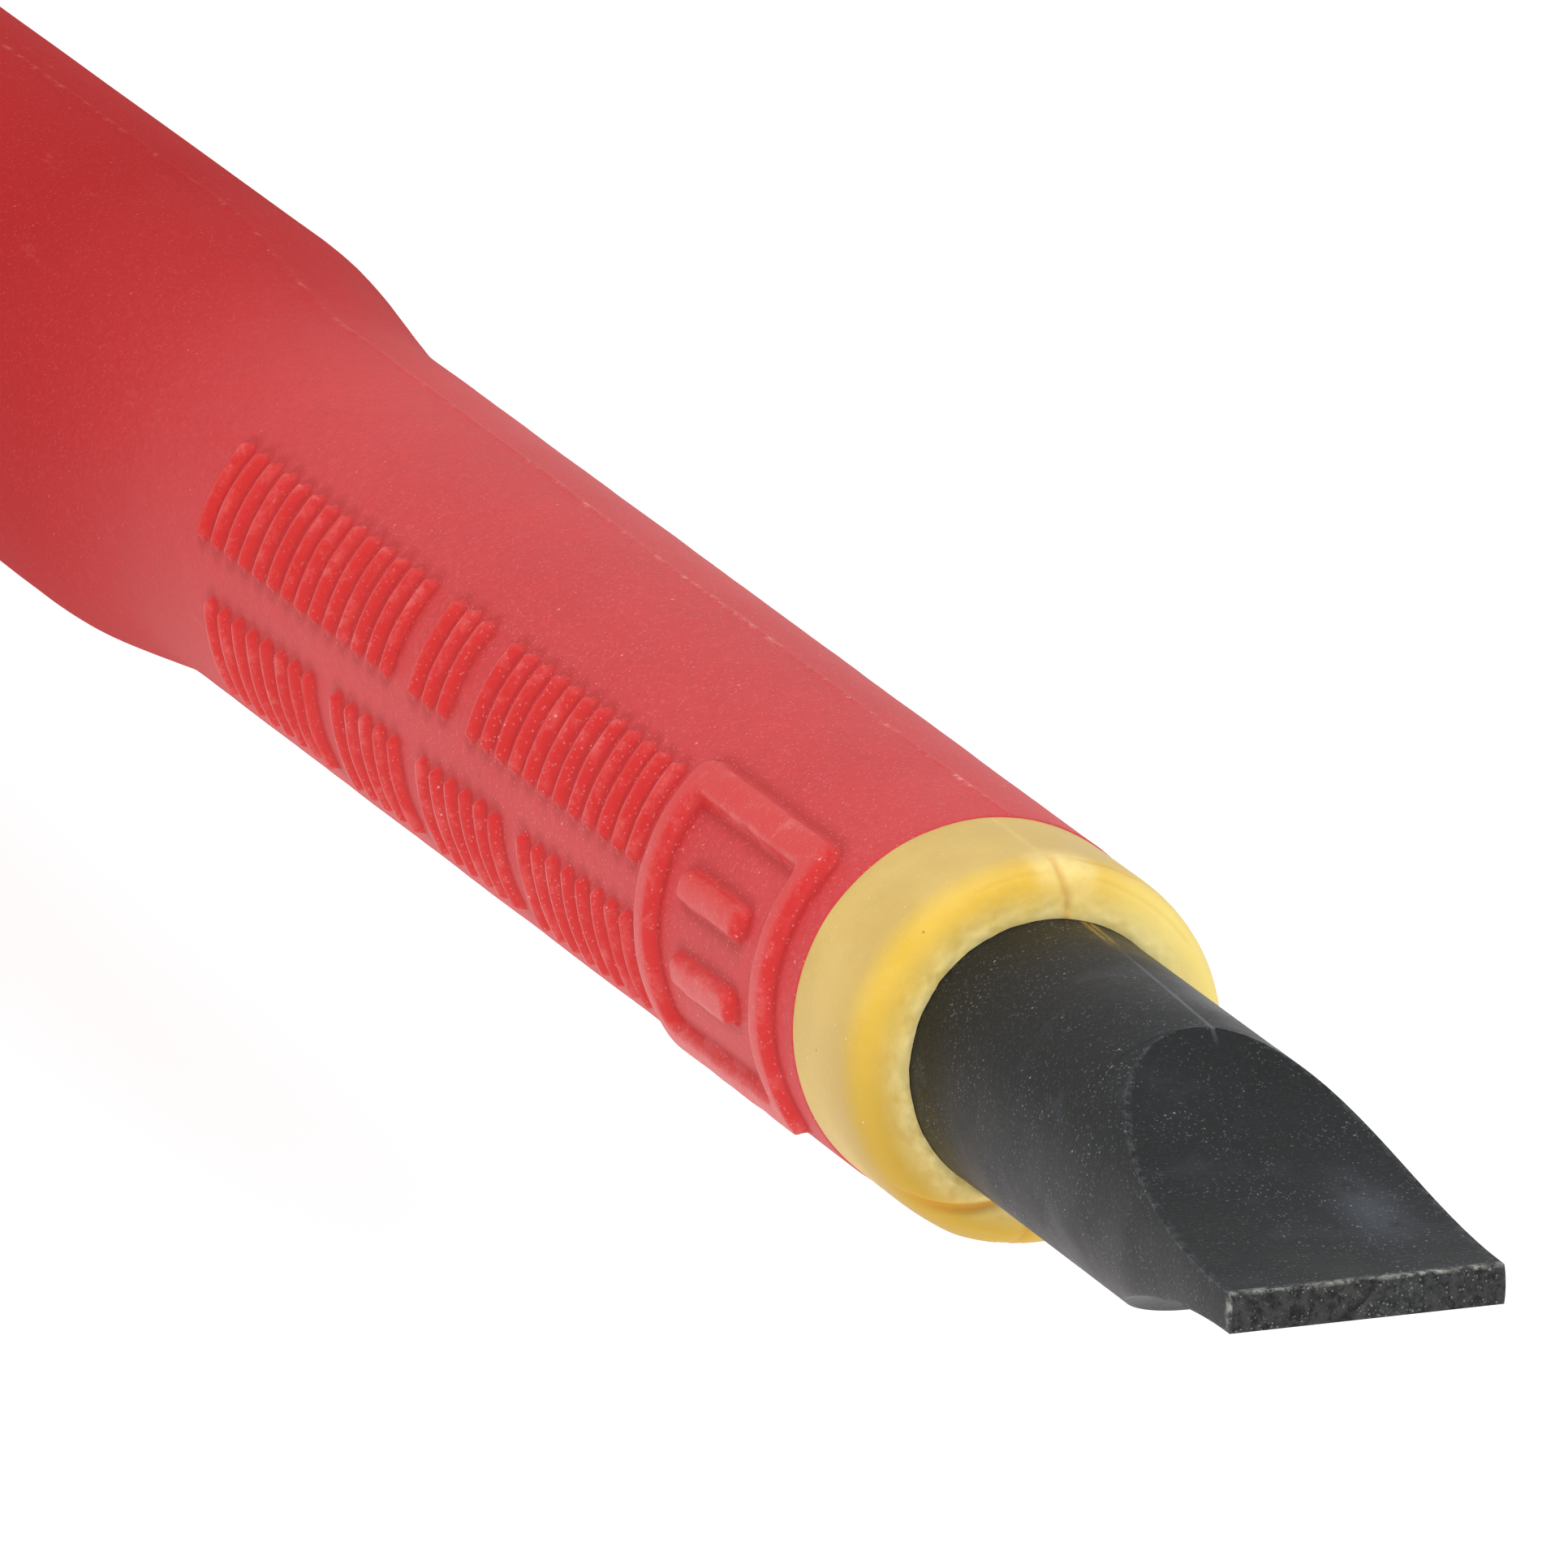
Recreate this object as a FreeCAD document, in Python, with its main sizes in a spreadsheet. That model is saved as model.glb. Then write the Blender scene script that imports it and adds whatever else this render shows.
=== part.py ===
"""An insulated slotted screwdriver, 3/16 in by 4 in, lying on a flat of its handle.

Frame: the origin is the middle of the tip's end face, +X runs up the shank to the butt, the tip is
widest along Y and +Z is up. Lengths are in millimetres and angles in degrees. Every X station is the
distance from the tip. Angles around the tool are measured from +Y towards +Z.
"""
import FreeCAD, Part
import math
import os

import Sketcher
from FreeCAD import Placement, Rotation, Vector

PARTS_FOLDER = "parts"
LOBES = 6  # faces, grip pads and keys around the handle
ALONG_X = Rotation(Vector(0, 1, 0), 90)  # stands a primitive's own Z axis along the tool

SIZES = {
    # steel blade
    "shank_radius": 2.381,
    "shank_end_x": 167.4,
    "shank_end_chamfer": 0.8,
    "tip_half_thickness": 0.335,
    "wheel_radius": 15.6,
    "wing_front_x": 141.4,
    "wing_rear_x": 155.4,
    "wing_half_span": 4.6,
    "wing_thickness": 2.0,
    # yellow inner insulation
    "mouth_x": 14.4,
    "ring_radius": 3.31,
    "ring_round": 0.5,
    "ring_end_x": 17.3,
    "inner_radius": 2.9,
    "inner_end_x": 107.4,
    # red outer insulation
    "sleeve_front_radius": 3.32,
    "neck_x": 50.9,
    "neck_radius": 3.4,
    "root_x": 55.6,
    "root_radius": 3.97,
    "outer_end_x": 105.4,
    # raised marks on the outer insulation
    "mark_radius": 3.58,
    "rib_width": 0.34,
    "rib_angle": 30.5,
    "first_rib_x": 24.9,
    "rib_pitch": 0.71,
    "frame_front_x": 18.3,
    "frame_length": 6.0,
    "frame_angle": 92.0,
    "frame_bar": 0.8,
    "frame_bar_angle": 12.8,
    # handle core
    "core_front_radius": 5.2,
    "core_waist_x": 129.4,
    "core_waist_radius": 6.2,
    "core_swell_x": 147.4,
    "core_swell_end_x": 177.4,
    "core_radius": 9.2,
    "core_end_x": 191.4,
    "core_end_radius": 7.6,
    "key_radius": 10.2,
    "key_width": 2.4,
    # outline of the handle: nose, guard, waist, swell and butt
    "nose_x": 101.6,
    "nose_radius": 6.0,
    "guard_x": 114.1,
    "guard_radius": 14.4,
    "waist_x": 126.9,
    "waist_radius": 9.8,
    "swell_x": 159.4,
    "swell_radius": 13.9,
    "taper_x": 186.4,
    "taper_radius": 12.7,
    "butt_x": 195.4,
    "butt_radius": 13.7,
    "end_x": 203.4,
    "end_radius": 7.4,
    "flat_height": 13.2,
    # grip pads
    "pad_front_x": 128.4,
    "pad_front_radius": 3.3,
    "pad_rear_x": 172.4,
    "pad_rear_radius": 4.7,
    "pad_depth": 1.8,
    # end cap and its marker
    "cap_joint_x": 196.9,
    "spigot_radius": 8.4,
    "marker_radius": 5.4,
    "marker_thickness": 1.4,
    "symbol_length": 7.6,
    "symbol_width": 1.2,
    "symbol_depth": 0.4,
}

# How many raised ribs each group has in the row nearer the top and in the lower row. One rib's
# place is left empty between groups.
UPPER_ROW_GROUPS = (12, 3, 14)
LOWER_ROW_GROUPS = (8, 6, 5, 8)
UPPER_ROW_ANGLE = 14.25
LOWER_ROW_ANGLE = -31.75
FRAME_START_ANGLE = -40.0

HANDLE_POINTS = ("nose", "guard", "waist", "swell", "taper", "butt", "end")

doc = FreeCAD.newDocument("insulated_screwdriver")


def make_sheet():
    """The driving dimensions, one row each, read by every expression as sizes.NAME."""
    table = doc.addObject("Spreadsheet::Sheet", "sizes")
    for row, (alias, number) in enumerate(SIZES.items(), start=1):
        table.set(f"A{row}", alias)
        table.set(f"B{row}", str(number))
        table.setAlias(f"B{row}", alias)
    doc.recompute()
    return table


sheet = make_sheet()


def value(alias):
    return float(getattr(sheet, alias))


def bind(thing, formulas):
    for place, formula in formulas.items():
        thing.setExpression(place, formula)


def make(kind, name, formulas=None):
    """A Part object of the document with its sizes bound to the sheet."""
    thing = doc.addObject(kind, name)
    bind(thing, formulas or {})
    return thing


def new_sketch(body, role, name):
    """A sketch on one of its own body's origin planes."""
    sketch = body.newObject("Sketcher::SketchObject", name)
    plane = next(f for f in body.Origin.OriginFeatures if f.Role == role)
    sketch.AttachmentSupport = [(plane, "")]
    sketch.MapMode = "FlatFace"
    return sketch


def dimension(sketch, kind, places, formula, number):
    """One sketch dimension that follows the sheet."""
    index = sketch.addConstraint(Sketcher.Constraint(kind, *places, number))
    sketch.setExpression(f"Constraints[{index}]", formula)


def draw_outline(sketch, corners):
    """A closed outline of straight edges. Each corner is a pair of sheet names, across and up."""
    count = len(corners)
    places = [Vector(value(across), value(up), 0) for across, up in corners]
    for i in range(count):
        sketch.addGeometry(Part.LineSegment(places[i], places[(i + 1) % count]), False)
    for i in range(count):
        sketch.addConstraint(Sketcher.Constraint("Coincident", i, 2, (i + 1) % count, 1))
    for i, (across, up) in enumerate(corners):
        dimension(sketch, "DistanceX", (-1, 1, i, 1), f"sizes.{across}", value(across))
        dimension(sketch, "DistanceY", (-1, 1, i, 1), f"sizes.{up}", value(up))


def draw_rectangle(sketch, left, right, half_height):
    """A rectangle about the horizontal axis, from three sheet names."""
    x0, x1, top = value(left), value(right), value(half_height)
    corners = [Vector(x0, -top, 0), Vector(x1, -top, 0), Vector(x1, top, 0), Vector(x0, top, 0)]
    for i in range(4):
        sketch.addGeometry(Part.LineSegment(corners[i], corners[(i + 1) % 4]), False)
    for i in range(4):
        sketch.addConstraint(Sketcher.Constraint("Coincident", i, 2, (i + 1) % 4, 1))
    sketch.addConstraint(Sketcher.Constraint("Horizontal", 0))
    sketch.addConstraint(Sketcher.Constraint("Horizontal", 2))
    sketch.addConstraint(Sketcher.Constraint("Vertical", 3))
    # The right side is upright too, because its ends are mirror images.
    sketch.addConstraint(Sketcher.Constraint("Symmetric", 1, 1, 1, 2, -1))
    dimension(sketch, "DistanceX", (-1, 1, 0, 1), f"sizes.{left}", x0)
    dimension(sketch, "DistanceX", (-1, 1, 1, 1), f"sizes.{right}", x1)
    dimension(sketch, "DistanceY", (1, 1, 1, 2), f"2 * sizes.{half_height}", 2 * top)


def turned_body(name, corners):
    """A body turned about the tool's axis from an outline of (station, radius) sheet names."""
    body = doc.addObject("PartDesign::Body", name)
    sketch = new_sketch(body, "XZ_Plane", f"{name}_outline")
    draw_outline(sketch, corners)
    turned = body.newObject("PartDesign::Revolution", f"{name}_turned")
    turned.Profile = sketch
    turned.ReferenceAxis = (sketch, ["H_Axis"])
    turned.Angle = 360
    doc.recompute()
    return body


def round_edge(feature, station, radius):
    """The name of the circular edge of a feature at this station and radius."""
    for index, edge in enumerate(feature.Shape.Edges, start=1):
        curve = edge.Curve
        if isinstance(curve, Part.Circle):
            if abs(curve.Center.x - station) < 1e-3 and abs(curve.Radius - radius) < 1e-3:
                return f"Edge{index}"
    raise ValueError(f"{feature.Name} has no round edge at {station}, radius {radius}")


def cut(name, base, tool):
    piece = doc.addObject("Part::Cut", name)
    piece.Base = base
    piece.Tool = tool
    return piece


def common(name, base, tool):
    piece = doc.addObject("Part::Common", name)
    piece.Base = base
    piece.Tool = tool
    return piece


def fuse(name, pieces):
    piece = doc.addObject("Part::MultiFuse", name)
    piece.Shapes = pieces
    return piece


def make_blade():
    """Round shank, hollow-ground slotted tip, and flattened wings that the core is moulded on."""
    body = doc.addObject("PartDesign::Body", "blade")
    circle = new_sketch(body, "YZ_Plane", "shank_circle")
    circle.addGeometry(Part.Circle(Vector(), Vector(0, 0, 1), value("shank_radius")), False)
    circle.addConstraint(Sketcher.Constraint("Coincident", 0, 3, -1, 1))
    dimension(circle, "Radius", (0,), "sizes.shank_radius", value("shank_radius"))
    shank = body.newObject("PartDesign::Pad", "shank")
    shank.Profile = circle
    bind(shank, {"Length": "sizes.shank_end_x"})

    wing_sketch = new_sketch(body, "XZ_Plane", "wing_outline")
    draw_rectangle(wing_sketch, "wing_front_x", "wing_rear_x", "wing_half_span")
    wings = body.newObject("PartDesign::Pad", "wings")
    wings.Profile = wing_sketch
    wings.SideType = "Symmetric"
    bind(wings, {"Length": "sizes.wing_thickness"})
    doc.recompute()

    wheels = new_sketch(body, "XZ_Plane", "grinding_wheels")
    wheel = value("wheel_radius")
    lift = wheel + value("tip_half_thickness")
    for i, side in enumerate((1, -1)):
        wheels.addGeometry(Part.Circle(Vector(0, side * lift, 0), Vector(0, 0, 1), wheel), False)
        wheels.addConstraint(Sketcher.Constraint("PointOnObject", i, 3, -2))
        dimension(wheels, "Radius", (i,), "sizes.wheel_radius", wheel)
    lift_formula = "sizes.wheel_radius + sizes.tip_half_thickness"
    dimension(wheels, "DistanceY", (-1, 1, 0, 3), lift_formula, lift)
    dimension(wheels, "DistanceY", (1, 3, -1, 1), lift_formula, lift)
    volume_before = wings.Shape.Volume
    grinding = body.newObject("PartDesign::Pocket", "hollow_grinding")
    grinding.Profile = wheels
    grinding.SideType = "Symmetric"
    bind(grinding, {"Length": "4 * sizes.shank_radius"})
    doc.recompute()
    if grinding.Shape.Volume >= volume_before:
        raise ValueError("the grinding wheels miss the tip")

    end_break = body.newObject("PartDesign::Chamfer", "shank_end_break")
    end_edge = round_edge(grinding, value("shank_end_x"), value("shank_radius"))
    end_break.Base = (grinding, [end_edge])
    bind(end_break, {"Size": "sizes.shank_end_chamfer"})
    return body


def make_inner_insulation():
    """The yellow layer: a bare ring at the mouth, then a thinner wall under the outer layer."""
    body = turned_body(
        "inner_insulation",
        [
            ("mouth_x", "shank_radius"),
            ("mouth_x", "ring_radius"),
            ("ring_end_x", "ring_radius"),
            ("ring_end_x", "inner_radius"),
            ("inner_end_x", "inner_radius"),
            ("inner_end_x", "shank_radius"),
        ],
    )
    ring = body.Tip
    rounding = body.newObject("PartDesign::Fillet", "mouth_round")
    rounding.Base = (ring, [round_edge(ring, value("mouth_x"), value("ring_radius"))])
    bind(rounding, {"Radius": "sizes.ring_round"})
    return body


def wedge(name, station, length, start_angle, formulas):
    """A slice of a solid cylinder about the tool's axis, from a station and a starting angle."""
    piece = make("Part::Cylinder", name, {"Radius": "sizes.mark_radius", **formulas})
    # A cylinder's own angle starts at its X axis, which lies along +Y once it is turned.
    turned = Rotation(Vector(1, 0, 0), start_angle) * Rotation(Vector(1, 1, 1), 120)
    piece.Placement = Placement(Vector(station, 0, 0), turned)
    bind(piece, {"Height": length})
    return piece


def make_rib_row(row_name, groups, start_angle):
    """One row of plain raised ribs across the sleeve."""
    ribs = []
    place = 0
    for group in groups:
        for _ in range(group):
            station = value("first_rib_x") + place * value("rib_pitch")
            name = f"{row_name}_{len(ribs) + 1}"
            ribs.append(
                wedge(name, station, "sizes.rib_width", start_angle, {"Angle": "sizes.rib_angle"})
            )
            place += 1
        place += 1
    return ribs


def make_raised_frame():
    """A plain frame near the mouth: two bars around the sleeve and two along it."""
    front = value("frame_front_x")
    rear = front + value("frame_length") - value("frame_bar")
    around = {"Angle": "sizes.frame_angle"}
    along = {"Angle": "sizes.frame_bar_angle"}
    last_angle = FRAME_START_ANGLE + value("frame_angle") - value("frame_bar_angle")
    return [
        wedge("frame_front", front, "sizes.frame_bar", FRAME_START_ANGLE, around),
        wedge("frame_rear", rear, "sizes.frame_bar", FRAME_START_ANGLE, around),
        wedge("frame_lower", front, "sizes.frame_length", FRAME_START_ANGLE, along),
        wedge("frame_upper", front, "sizes.frame_length", last_angle, along),
    ]


def make_outer_insulation():
    """The red layer: a drafted sleeve, a flare to the thicker root, and raised marks."""
    sleeve = turned_body(
        "sleeve_blank",
        [
            ("ring_end_x", "inner_radius"),
            ("ring_end_x", "sleeve_front_radius"),
            ("neck_x", "neck_radius"),
            ("root_x", "root_radius"),
            ("outer_end_x", "root_radius"),
            ("outer_end_x", "inner_radius"),
        ],
    )
    marks = make_rib_row("upper_rib", UPPER_ROW_GROUPS, UPPER_ROW_ANGLE)
    marks += make_rib_row("lower_rib", LOWER_ROW_GROUPS, LOWER_ROW_ANGLE)
    marks += make_raised_frame()
    all_marks = fuse("raised_marks", marks)
    bore = make(
        "Part::Cylinder",
        "sleeve_bore",
        {"Radius": "sizes.inner_radius", "Height": "sizes.outer_end_x"},
    )
    bore.Placement = Placement(Vector(), ALONG_X)
    shells = cut("mark_shells", all_marks, bore)
    return fuse("outer_insulation", [sleeve, shells])


def make_handle_core(blade):
    """The hard core, moulded round the shank's wings, with a key at each corner of the handle."""
    body = turned_body(
        "core_blank",
        [
            ("inner_end_x", "shank_radius"),
            ("inner_end_x", "core_front_radius"),
            ("core_waist_x", "core_waist_radius"),
            ("core_swell_x", "core_radius"),
            ("core_swell_end_x", "core_radius"),
            ("core_end_x", "core_end_radius"),
            ("core_end_x", "shank_radius"),
        ],
    )
    key_sketch = new_sketch(body, "XY_Plane", "key_outline")
    draw_outline(
        key_sketch,
        [
            ("core_swell_x", "core_waist_radius"),
            ("core_swell_end_x", "core_waist_radius"),
            ("core_swell_end_x", "key_radius"),
            ("core_swell_x", "key_radius"),
        ],
    )
    key = body.newObject("PartDesign::Pad", "key")
    key.Profile = key_sketch
    key.SideType = "Symmetric"
    bind(key, {"Length": "sizes.key_width"})
    keys = body.newObject("PartDesign::PolarPattern", "keys")
    keys.Originals = [key]
    keys.Axis = (key_sketch, ["H_Axis"])
    keys.Angle = 360
    keys.Occurrences = LOBES
    body.Tip = keys
    doc.recompute()
    end_plug = make(
        "Part::Cylinder",
        "core_end_plug",
        {
            "Radius": "sizes.core_waist_radius",
            "Height": "sizes.core_end_x - sizes.core_swell_x",
        },
    )
    end_plug.Placement = Placement(Vector(value("core_swell_x"), 0, 0), ALONG_X)
    return cut("handle_core", fuse("core_solid", [body, end_plug]), blade)


def handle_stations():
    """Points of the handle's outline from the nose to the end, as (station, radius)."""
    nose, guard, waist, swell, taper, butt, end = (
        (value(f"{name}_x"), value(f"{name}_radius")) for name in HANDLE_POINTS
    )

    def between(first, second, along, across):
        """A point this share of the way along the tool, and that share of the way outwards."""
        return (
            first[0] + along * (second[0] - first[0]),
            first[1] + across * (second[1] - first[1]),
        )

    return [
        nose,
        between(nose, guard, 0.04, 0.10),
        between(nose, guard, 0.35, 0.23),
        between(nose, guard, 0.68, 0.62),
        between(nose, guard, 0.87, 0.94),
        guard,
        between(guard, waist, 0.13, 0.13),
        between(guard, waist, 0.42, 0.66),
        waist,
        between(waist, swell, 0.36, 0.46),
        between(waist, swell, 0.70, 0.88),
        swell,
        between(swell, taper, 0.55, 0.48),
        taper,
        butt,
        between(butt, end, 0.60, 0.28),
        between(butt, end, 0.96, 0.87),
        end,
    ]


def turned_solid(name, inset):
    """A solid of revolution with the handle's outline, moved inwards by inset."""
    places = [Vector(station, 0, radius - inset) for station, radius in handle_stations()]
    curve = Part.BSplineCurve()
    curve.interpolate(places)
    front = Vector(places[0].x, 0, 0)
    rear = Vector(places[-1].x, 0, 0)
    edges = [
        Part.LineSegment(front, places[0]).toShape(),
        curve.toShape(),
        Part.LineSegment(places[-1], rear).toShape(),
        Part.LineSegment(rear, front).toShape(),
    ]
    piece = doc.addObject("Part::Feature", name)
    face = Part.Face(Part.Wire(edges))
    piece.Shape = face.revolve(Vector(), Vector(1, 0, 0), 360)
    return piece


def make_handle_blank():
    """The handle's whole outer form: the turned outline with six flats."""
    prism = make(
        "Part::Prism",
        "handle_flats",
        {
            "Circumradius": "sizes.flat_height / cos(180 deg / 6)",
            "Height": "sizes.end_x - sizes.nose_x",
        },
    )
    prism.Polygon = LOBES
    corner_up = Rotation(Vector(1, 0, 0), 180 / LOBES)
    prism.Placement = Placement(Vector(value("nose_x"), 0, 0), corner_up * ALONG_X)
    return common("handle_blank", turned_solid("handle_outline", 0), prism)


def make_pad_outline():
    """A long slot, wider at the rear: two end arcs joined by tangent lines."""
    sketch = doc.addObject("Sketcher::SketchObject", "pad_outline")
    x1, r1 = value("pad_front_x"), value("pad_front_radius")
    x2, r2 = value("pad_rear_x"), value("pad_rear_radius")
    lean = math.asin((r2 - r1) / (x2 - x1))
    up = Vector(0, 0, 1)
    quarter = math.pi / 2

    def on_circle(x, r, side):
        return Vector(x - r * math.sin(lean), side * r * math.cos(lean), 0)

    front = Part.Circle(Vector(x1, 0, 0), up, r1)
    rear = Part.Circle(Vector(x2, 0, 0), up, r2)
    sketch.addGeometry(
        [
            Part.ArcOfCircle(front, quarter + lean, 3 * quarter - lean),
            Part.LineSegment(on_circle(x1, r1, -1), on_circle(x2, r2, -1)),
            Part.ArcOfCircle(rear, -quarter - lean, quarter + lean),
            Part.LineSegment(on_circle(x2, r2, 1), on_circle(x1, r1, 1)),
        ],
        False,
    )
    for first, first_end, second, second_end in ((0, 2, 1, 1), (1, 2, 2, 1), (2, 2, 3, 1), (3, 2, 0, 1)):
        sketch.addConstraint(
            Sketcher.Constraint("Tangent", first, first_end, second, second_end)
        )
    for arc, name in ((0, "pad_front"), (2, "pad_rear")):
        sketch.addConstraint(Sketcher.Constraint("PointOnObject", arc, 3, -1))
        dimension(sketch, "DistanceX", (-1, 1, arc, 3), f"sizes.{name}_x", value(f"{name}_x"))
        dimension(sketch, "Radius", (arc,), f"sizes.{name}_radius", value(f"{name}_radius"))
    return sketch


def make_grip_pads(blank):
    """Six soft inlays, one on each flat, each with the handle's own outer surface."""
    floor = turned_solid("pocket_floor", value("pad_depth"))
    jacket = cut("pad_jacket", blank, floor)
    outline = make_pad_outline()
    pads = []
    for i in range(LOBES):
        window = make("Part::Extrusion", f"pad_window_{i + 1}", {"LengthFwd": "1.5 * sizes.flat_height"})
        window.Base = outline
        window.DirMode = "Normal"
        window.Solid = True
        window.Placement = Placement(Vector(), Rotation(Vector(1, 0, 0), i * 360 / LOBES))
        pads.append(common(f"grip_pad_{i + 1}", jacket, window))
    return pads


def make_tip_marker():
    """A disc in the butt with a plain sunk bar, the sign for a slotted tip."""
    disc = make(
        "Part::Cylinder",
        "marker_disc",
        {"Radius": "sizes.marker_radius", "Height": "sizes.marker_thickness"},
    )
    front = value("end_x") - value("marker_thickness")
    disc.Placement = Placement(Vector(front, 0, 0), ALONG_X)
    bar = make(
        "Part::Box",
        "marker_bar",
        {
            "Length": "sizes.symbol_depth",
            "Width": "sizes.symbol_length",
            "Height": "sizes.symbol_width",
        },
    )
    corner = Vector(
        value("end_x") - value("symbol_depth"),
        -value("symbol_length") / 2,
        -value("symbol_width") / 2,
    )
    bar.Placement = Placement(corner, Rotation())
    return cut("tip_marker", disc, bar), disc


def make_butt_block():
    """A block that covers everything behind the joint between the shell and the end cap."""
    block = make(
        "Part::Box",
        "butt_block",
        {
            "Length": "sizes.end_x - sizes.cap_joint_x",
            "Width": "4 * sizes.flat_height",
            "Height": "4 * sizes.flat_height",
        },
    )
    half = 2 * value("flat_height")
    block.Placement = Placement(Vector(value("cap_joint_x"), -half, -half), Rotation())
    return block


def make_end_cap(blank, block, marker_disc):
    """The butt, with a spigot that is glued into the shell and a seat for the marker."""
    head = common("cap_head", blank, block)
    spigot = make(
        "Part::Cylinder",
        "cap_spigot",
        {"Radius": "sizes.spigot_radius", "Height": "sizes.cap_joint_x - sizes.core_end_x"},
    )
    spigot.Placement = Placement(Vector(value("core_end_x"), 0, 0), ALONG_X)
    return cut("end_cap", fuse("cap_blank", [head, spigot]), marker_disc)


def make_handle_shell(blank, block, contents):
    """The hard red shell: nose, finger guard and grip, with a pocket for everything it holds."""
    shell = cut("shell_blank", blank, block)
    for i, piece in enumerate(contents):
        last = i == len(contents) - 1
        shell = cut("handle_shell" if last else f"shell_less_{piece.Name}", shell, piece)
    return shell


def build():
    """Every separate piece of the screwdriver."""
    blade = make_blade()
    inner = make_inner_insulation()
    outer = make_outer_insulation()
    core = make_handle_core(blade)
    blank = make_handle_blank()
    pads = make_grip_pads(blank)
    marker, marker_disc = make_tip_marker()
    block = make_butt_block()
    cap = make_end_cap(blank, block, marker_disc)
    shell = make_handle_shell(blank, block, [core, blade, inner, outer, cap, *pads])
    doc.recompute()
    return [blade, inner, outer, core, shell, *pads, cap, marker]


def check(pieces):
    """Stops if any object failed to compute or any piece isn't one valid solid."""
    for thing in doc.Objects:
        if "Invalid" in thing.State or "Error" in thing.State:
            raise ValueError(f"{thing.Label} is {thing.State}")
    for piece in pieces:
        shape = piece.Shape
        if shape.isNull() or not shape.isValid() or len(shape.Solids) != 1:
            raise ValueError(f"{piece.Label} isn't one valid solid")


def export(pieces):
    os.makedirs(PARTS_FOLDER, exist_ok=True)
    for piece in pieces:
        piece.Shape.exportStep(os.path.join(PARTS_FOLDER, f"{piece.Label}.step"))
        box = piece.Shape.BoundBox
        print(
            f"{piece.Label:18} {piece.Shape.Volume:9.1f} mm3  "
            f"X {box.XMin:6.2f} to {box.XMax:6.2f}  Z {box.ZMin:6.2f} to {box.ZMax:6.2f}"
        )


pieces = build()
check(pieces)
export(pieces)
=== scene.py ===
"""Looks of the insulated slotted screwdriver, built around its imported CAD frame.

Lengths are millimetres, which piece_from turns into the metres of a mesh. Metres are used directly
only for the frame's box, the lights, the floor, the camera's clipping and the subsurface scales. The
frame's X runs from the tip to the butt, and angles around the tool are degrees from +Y towards +Z.
"""
import math

import bmesh
import bpy
import numpy as np
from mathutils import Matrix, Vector, noise


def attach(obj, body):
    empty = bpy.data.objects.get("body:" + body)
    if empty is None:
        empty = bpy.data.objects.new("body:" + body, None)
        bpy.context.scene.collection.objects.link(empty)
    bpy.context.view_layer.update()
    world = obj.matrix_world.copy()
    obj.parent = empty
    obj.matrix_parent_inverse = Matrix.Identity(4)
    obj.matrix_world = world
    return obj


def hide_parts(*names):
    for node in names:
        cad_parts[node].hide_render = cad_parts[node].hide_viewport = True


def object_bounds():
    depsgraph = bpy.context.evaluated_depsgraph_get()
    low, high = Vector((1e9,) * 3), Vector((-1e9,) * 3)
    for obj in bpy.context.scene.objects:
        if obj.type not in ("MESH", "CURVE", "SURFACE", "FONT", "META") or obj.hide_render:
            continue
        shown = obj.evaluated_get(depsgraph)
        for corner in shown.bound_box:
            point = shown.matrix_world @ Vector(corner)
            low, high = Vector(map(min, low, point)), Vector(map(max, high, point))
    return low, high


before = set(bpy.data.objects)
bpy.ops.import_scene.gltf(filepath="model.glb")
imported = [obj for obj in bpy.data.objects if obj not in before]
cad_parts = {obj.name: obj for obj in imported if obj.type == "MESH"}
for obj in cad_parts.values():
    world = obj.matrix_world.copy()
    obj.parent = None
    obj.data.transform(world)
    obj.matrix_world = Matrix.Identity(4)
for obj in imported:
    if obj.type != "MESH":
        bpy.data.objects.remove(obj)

MM = 0.001
cad_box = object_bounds()

# Blade
SHANK_RADIUS = 2.381
SHANK_END = 167.4
TIP_HALF_THICKNESS = 0.335
WHEEL_RADIUS = 15.6
BUTT_TAPER = 0.8  # length of the cone at the shank's hidden end
WINGS = (141.4, 155.4)
WING_HALF_SPAN = 4.6
WING_HALF_THICKNESS = 1.0

# Insulation
MOUTH = 14.4
RING_END = 17.3
INNER_RADIUS = 2.9
INNER_END = 107.4
OUTER_END = 105.4
SLEEVE_STATIONS = (RING_END, 50.9, 55.6, OUTER_END)
SLEEVE_RADII = (3.32, 3.40, 3.97, 3.97)
MARK_RADIUS = 3.38  # the radius at which the marks' sizes around the sleeve are measured
SEAM_ANGLES = (99.0, 279.0)

# Handle: its outline's main points are (station, radius)
LOBES = 6
FLAT_HEIGHT = 13.2
NOSE = (101.6, 6.0)
GUARD = (114.1, 14.4)
WAIST = (126.9, 9.8)
SWELL = (159.4, 13.9)
TAPER = (186.4, 12.7)
BUTT = (195.4, 13.7)
END = (203.4, 7.4)
BORE_RADIUS = 3.99
CAP_JOINT = 196.9
JOINT_BREAK = 0.18  # the small bevel on both sides of the cap's joint
MARKER_RADIUS = 5.4
MARKER_THICKNESS = 1.4
PAD_FRONT = (128.4, 3.3)  # centre and radius of the slot's front end
PAD_REAR = (172.4, 4.7)
PAD_WALL = 1.5
WINDOW_ENDS = (122.6, 179.6)  # stations of the sector patch that holds a pad's window


# ---------------------------------------------------------------- mesh helpers

def around(x, radius, degrees):
    """Points at stations x, radii and angles around the tool, which may be arrays."""
    angle = np.radians(degrees)
    return np.stack(np.broadcast_arrays(x, radius * np.cos(angle), radius * np.sin(angle)), -1)


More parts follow.
